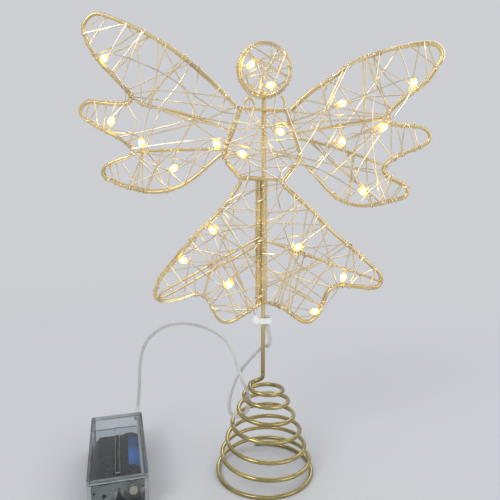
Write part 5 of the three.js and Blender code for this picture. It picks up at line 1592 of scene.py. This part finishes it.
class ANGEL_OT_battery_box(bpy.types.Operator):
    """Make the clear box with its cover, cells, board, contacts and button"""
    bl_idname = "angel.battery_box"
    bl_label = "Battery box"

    def execute(self, context):
        box = settings("box")
        for node, name, finish, slot, body, edge in BOX_PIECES:
            place(softened(node, name, edge or box.edge, finish), body, slot, node)
        for name, finish, side, node in (
                ("left_cell", "plain_cell", -1, "cell_left"),
                ("right_cell", "banded_cell", 1, "cell_right")):
            mesh = cell_mesh(name, finish)
            turn = Matrix.Rotation(math.pi if side > 0 else 0, 4, "Z")
            start = CELL_START + (CELL_LENGTH if side > 0 else 0)
            mesh.transform(
                BOX_FRAME @ Matrix.Translation((side * CELL_ACROSS, start, CELL_UP)) @ turn)
            piece = link_object(name, mesh)
            smooth_shading(piece, MOULDED_SHARP_ANGLE)
            place(piece, BASE, "cell_body", node)
        line = [
            BOX_FRAME @ Vector((LEAD_ACROSS, INNER_START + INNER_RUN * i / INNER_STEPS, LEAD_UP))
            for i in range(INNER_STEPS + 1)]
        piece = swept("inner_wire", [line], INNER_DIAMETER, OUTLINE_SIDES, "lead")
        place(piece, BASE, "lead_vinyl", "inner_lead")
        return {"FINISHED"}


class ANGEL_PT_panel(bpy.types.Panel):
    """Lists the steps that build the topper"""
    bl_label = "Angel Topper"
    bl_idname = "ANGEL_PT_panel"
    bl_space_type = "VIEW_3D"
    bl_region_type = "UI"
    bl_category = "Angel Topper"

    def draw(self, context):
        for operator in OPERATORS:
            self.layout.operator(operator.bl_idname)


# In the order in which main runs them
OPERATORS = (
    ANGEL_OT_camera, ANGEL_OT_lead, ANGEL_OT_stage, ANGEL_OT_spring, ANGEL_OT_wires,
    ANGEL_OT_lacing, ANGEL_OT_lights, ANGEL_OT_tie, ANGEL_OT_battery_box,
)
GROUPS = {
    "wires": WireSettings, "lacing": LacingSettings, "lamps": LampSettings,
    "lead": LeadSettings, "box": BoxSettings, "stage": StageSettings,
}


def register():
    for name, group in GROUPS.items():
        bpy.utils.register_class(group)
        setattr(bpy.types.Scene, "angel_" + name, bpy.props.PointerProperty(type=group))
    for panel_or_operator in (*OPERATORS, ANGEL_PT_panel):
        bpy.utils.register_class(panel_or_operator)


def unregister():
    for panel_or_operator in (ANGEL_PT_panel, *reversed(OPERATORS)):
        bpy.utils.unregister_class(panel_or_operator)
    for name, group in reversed(GROUPS.items()):
        delattr(bpy.types.Scene, "angel_" + name)
        bpy.utils.unregister_class(group)


def main():
    register()
    for operator in OPERATORS:
        getattr(bpy.ops.angel, operator.bl_idname.split(".")[1])()


if __name__ == "__main__":
    main()
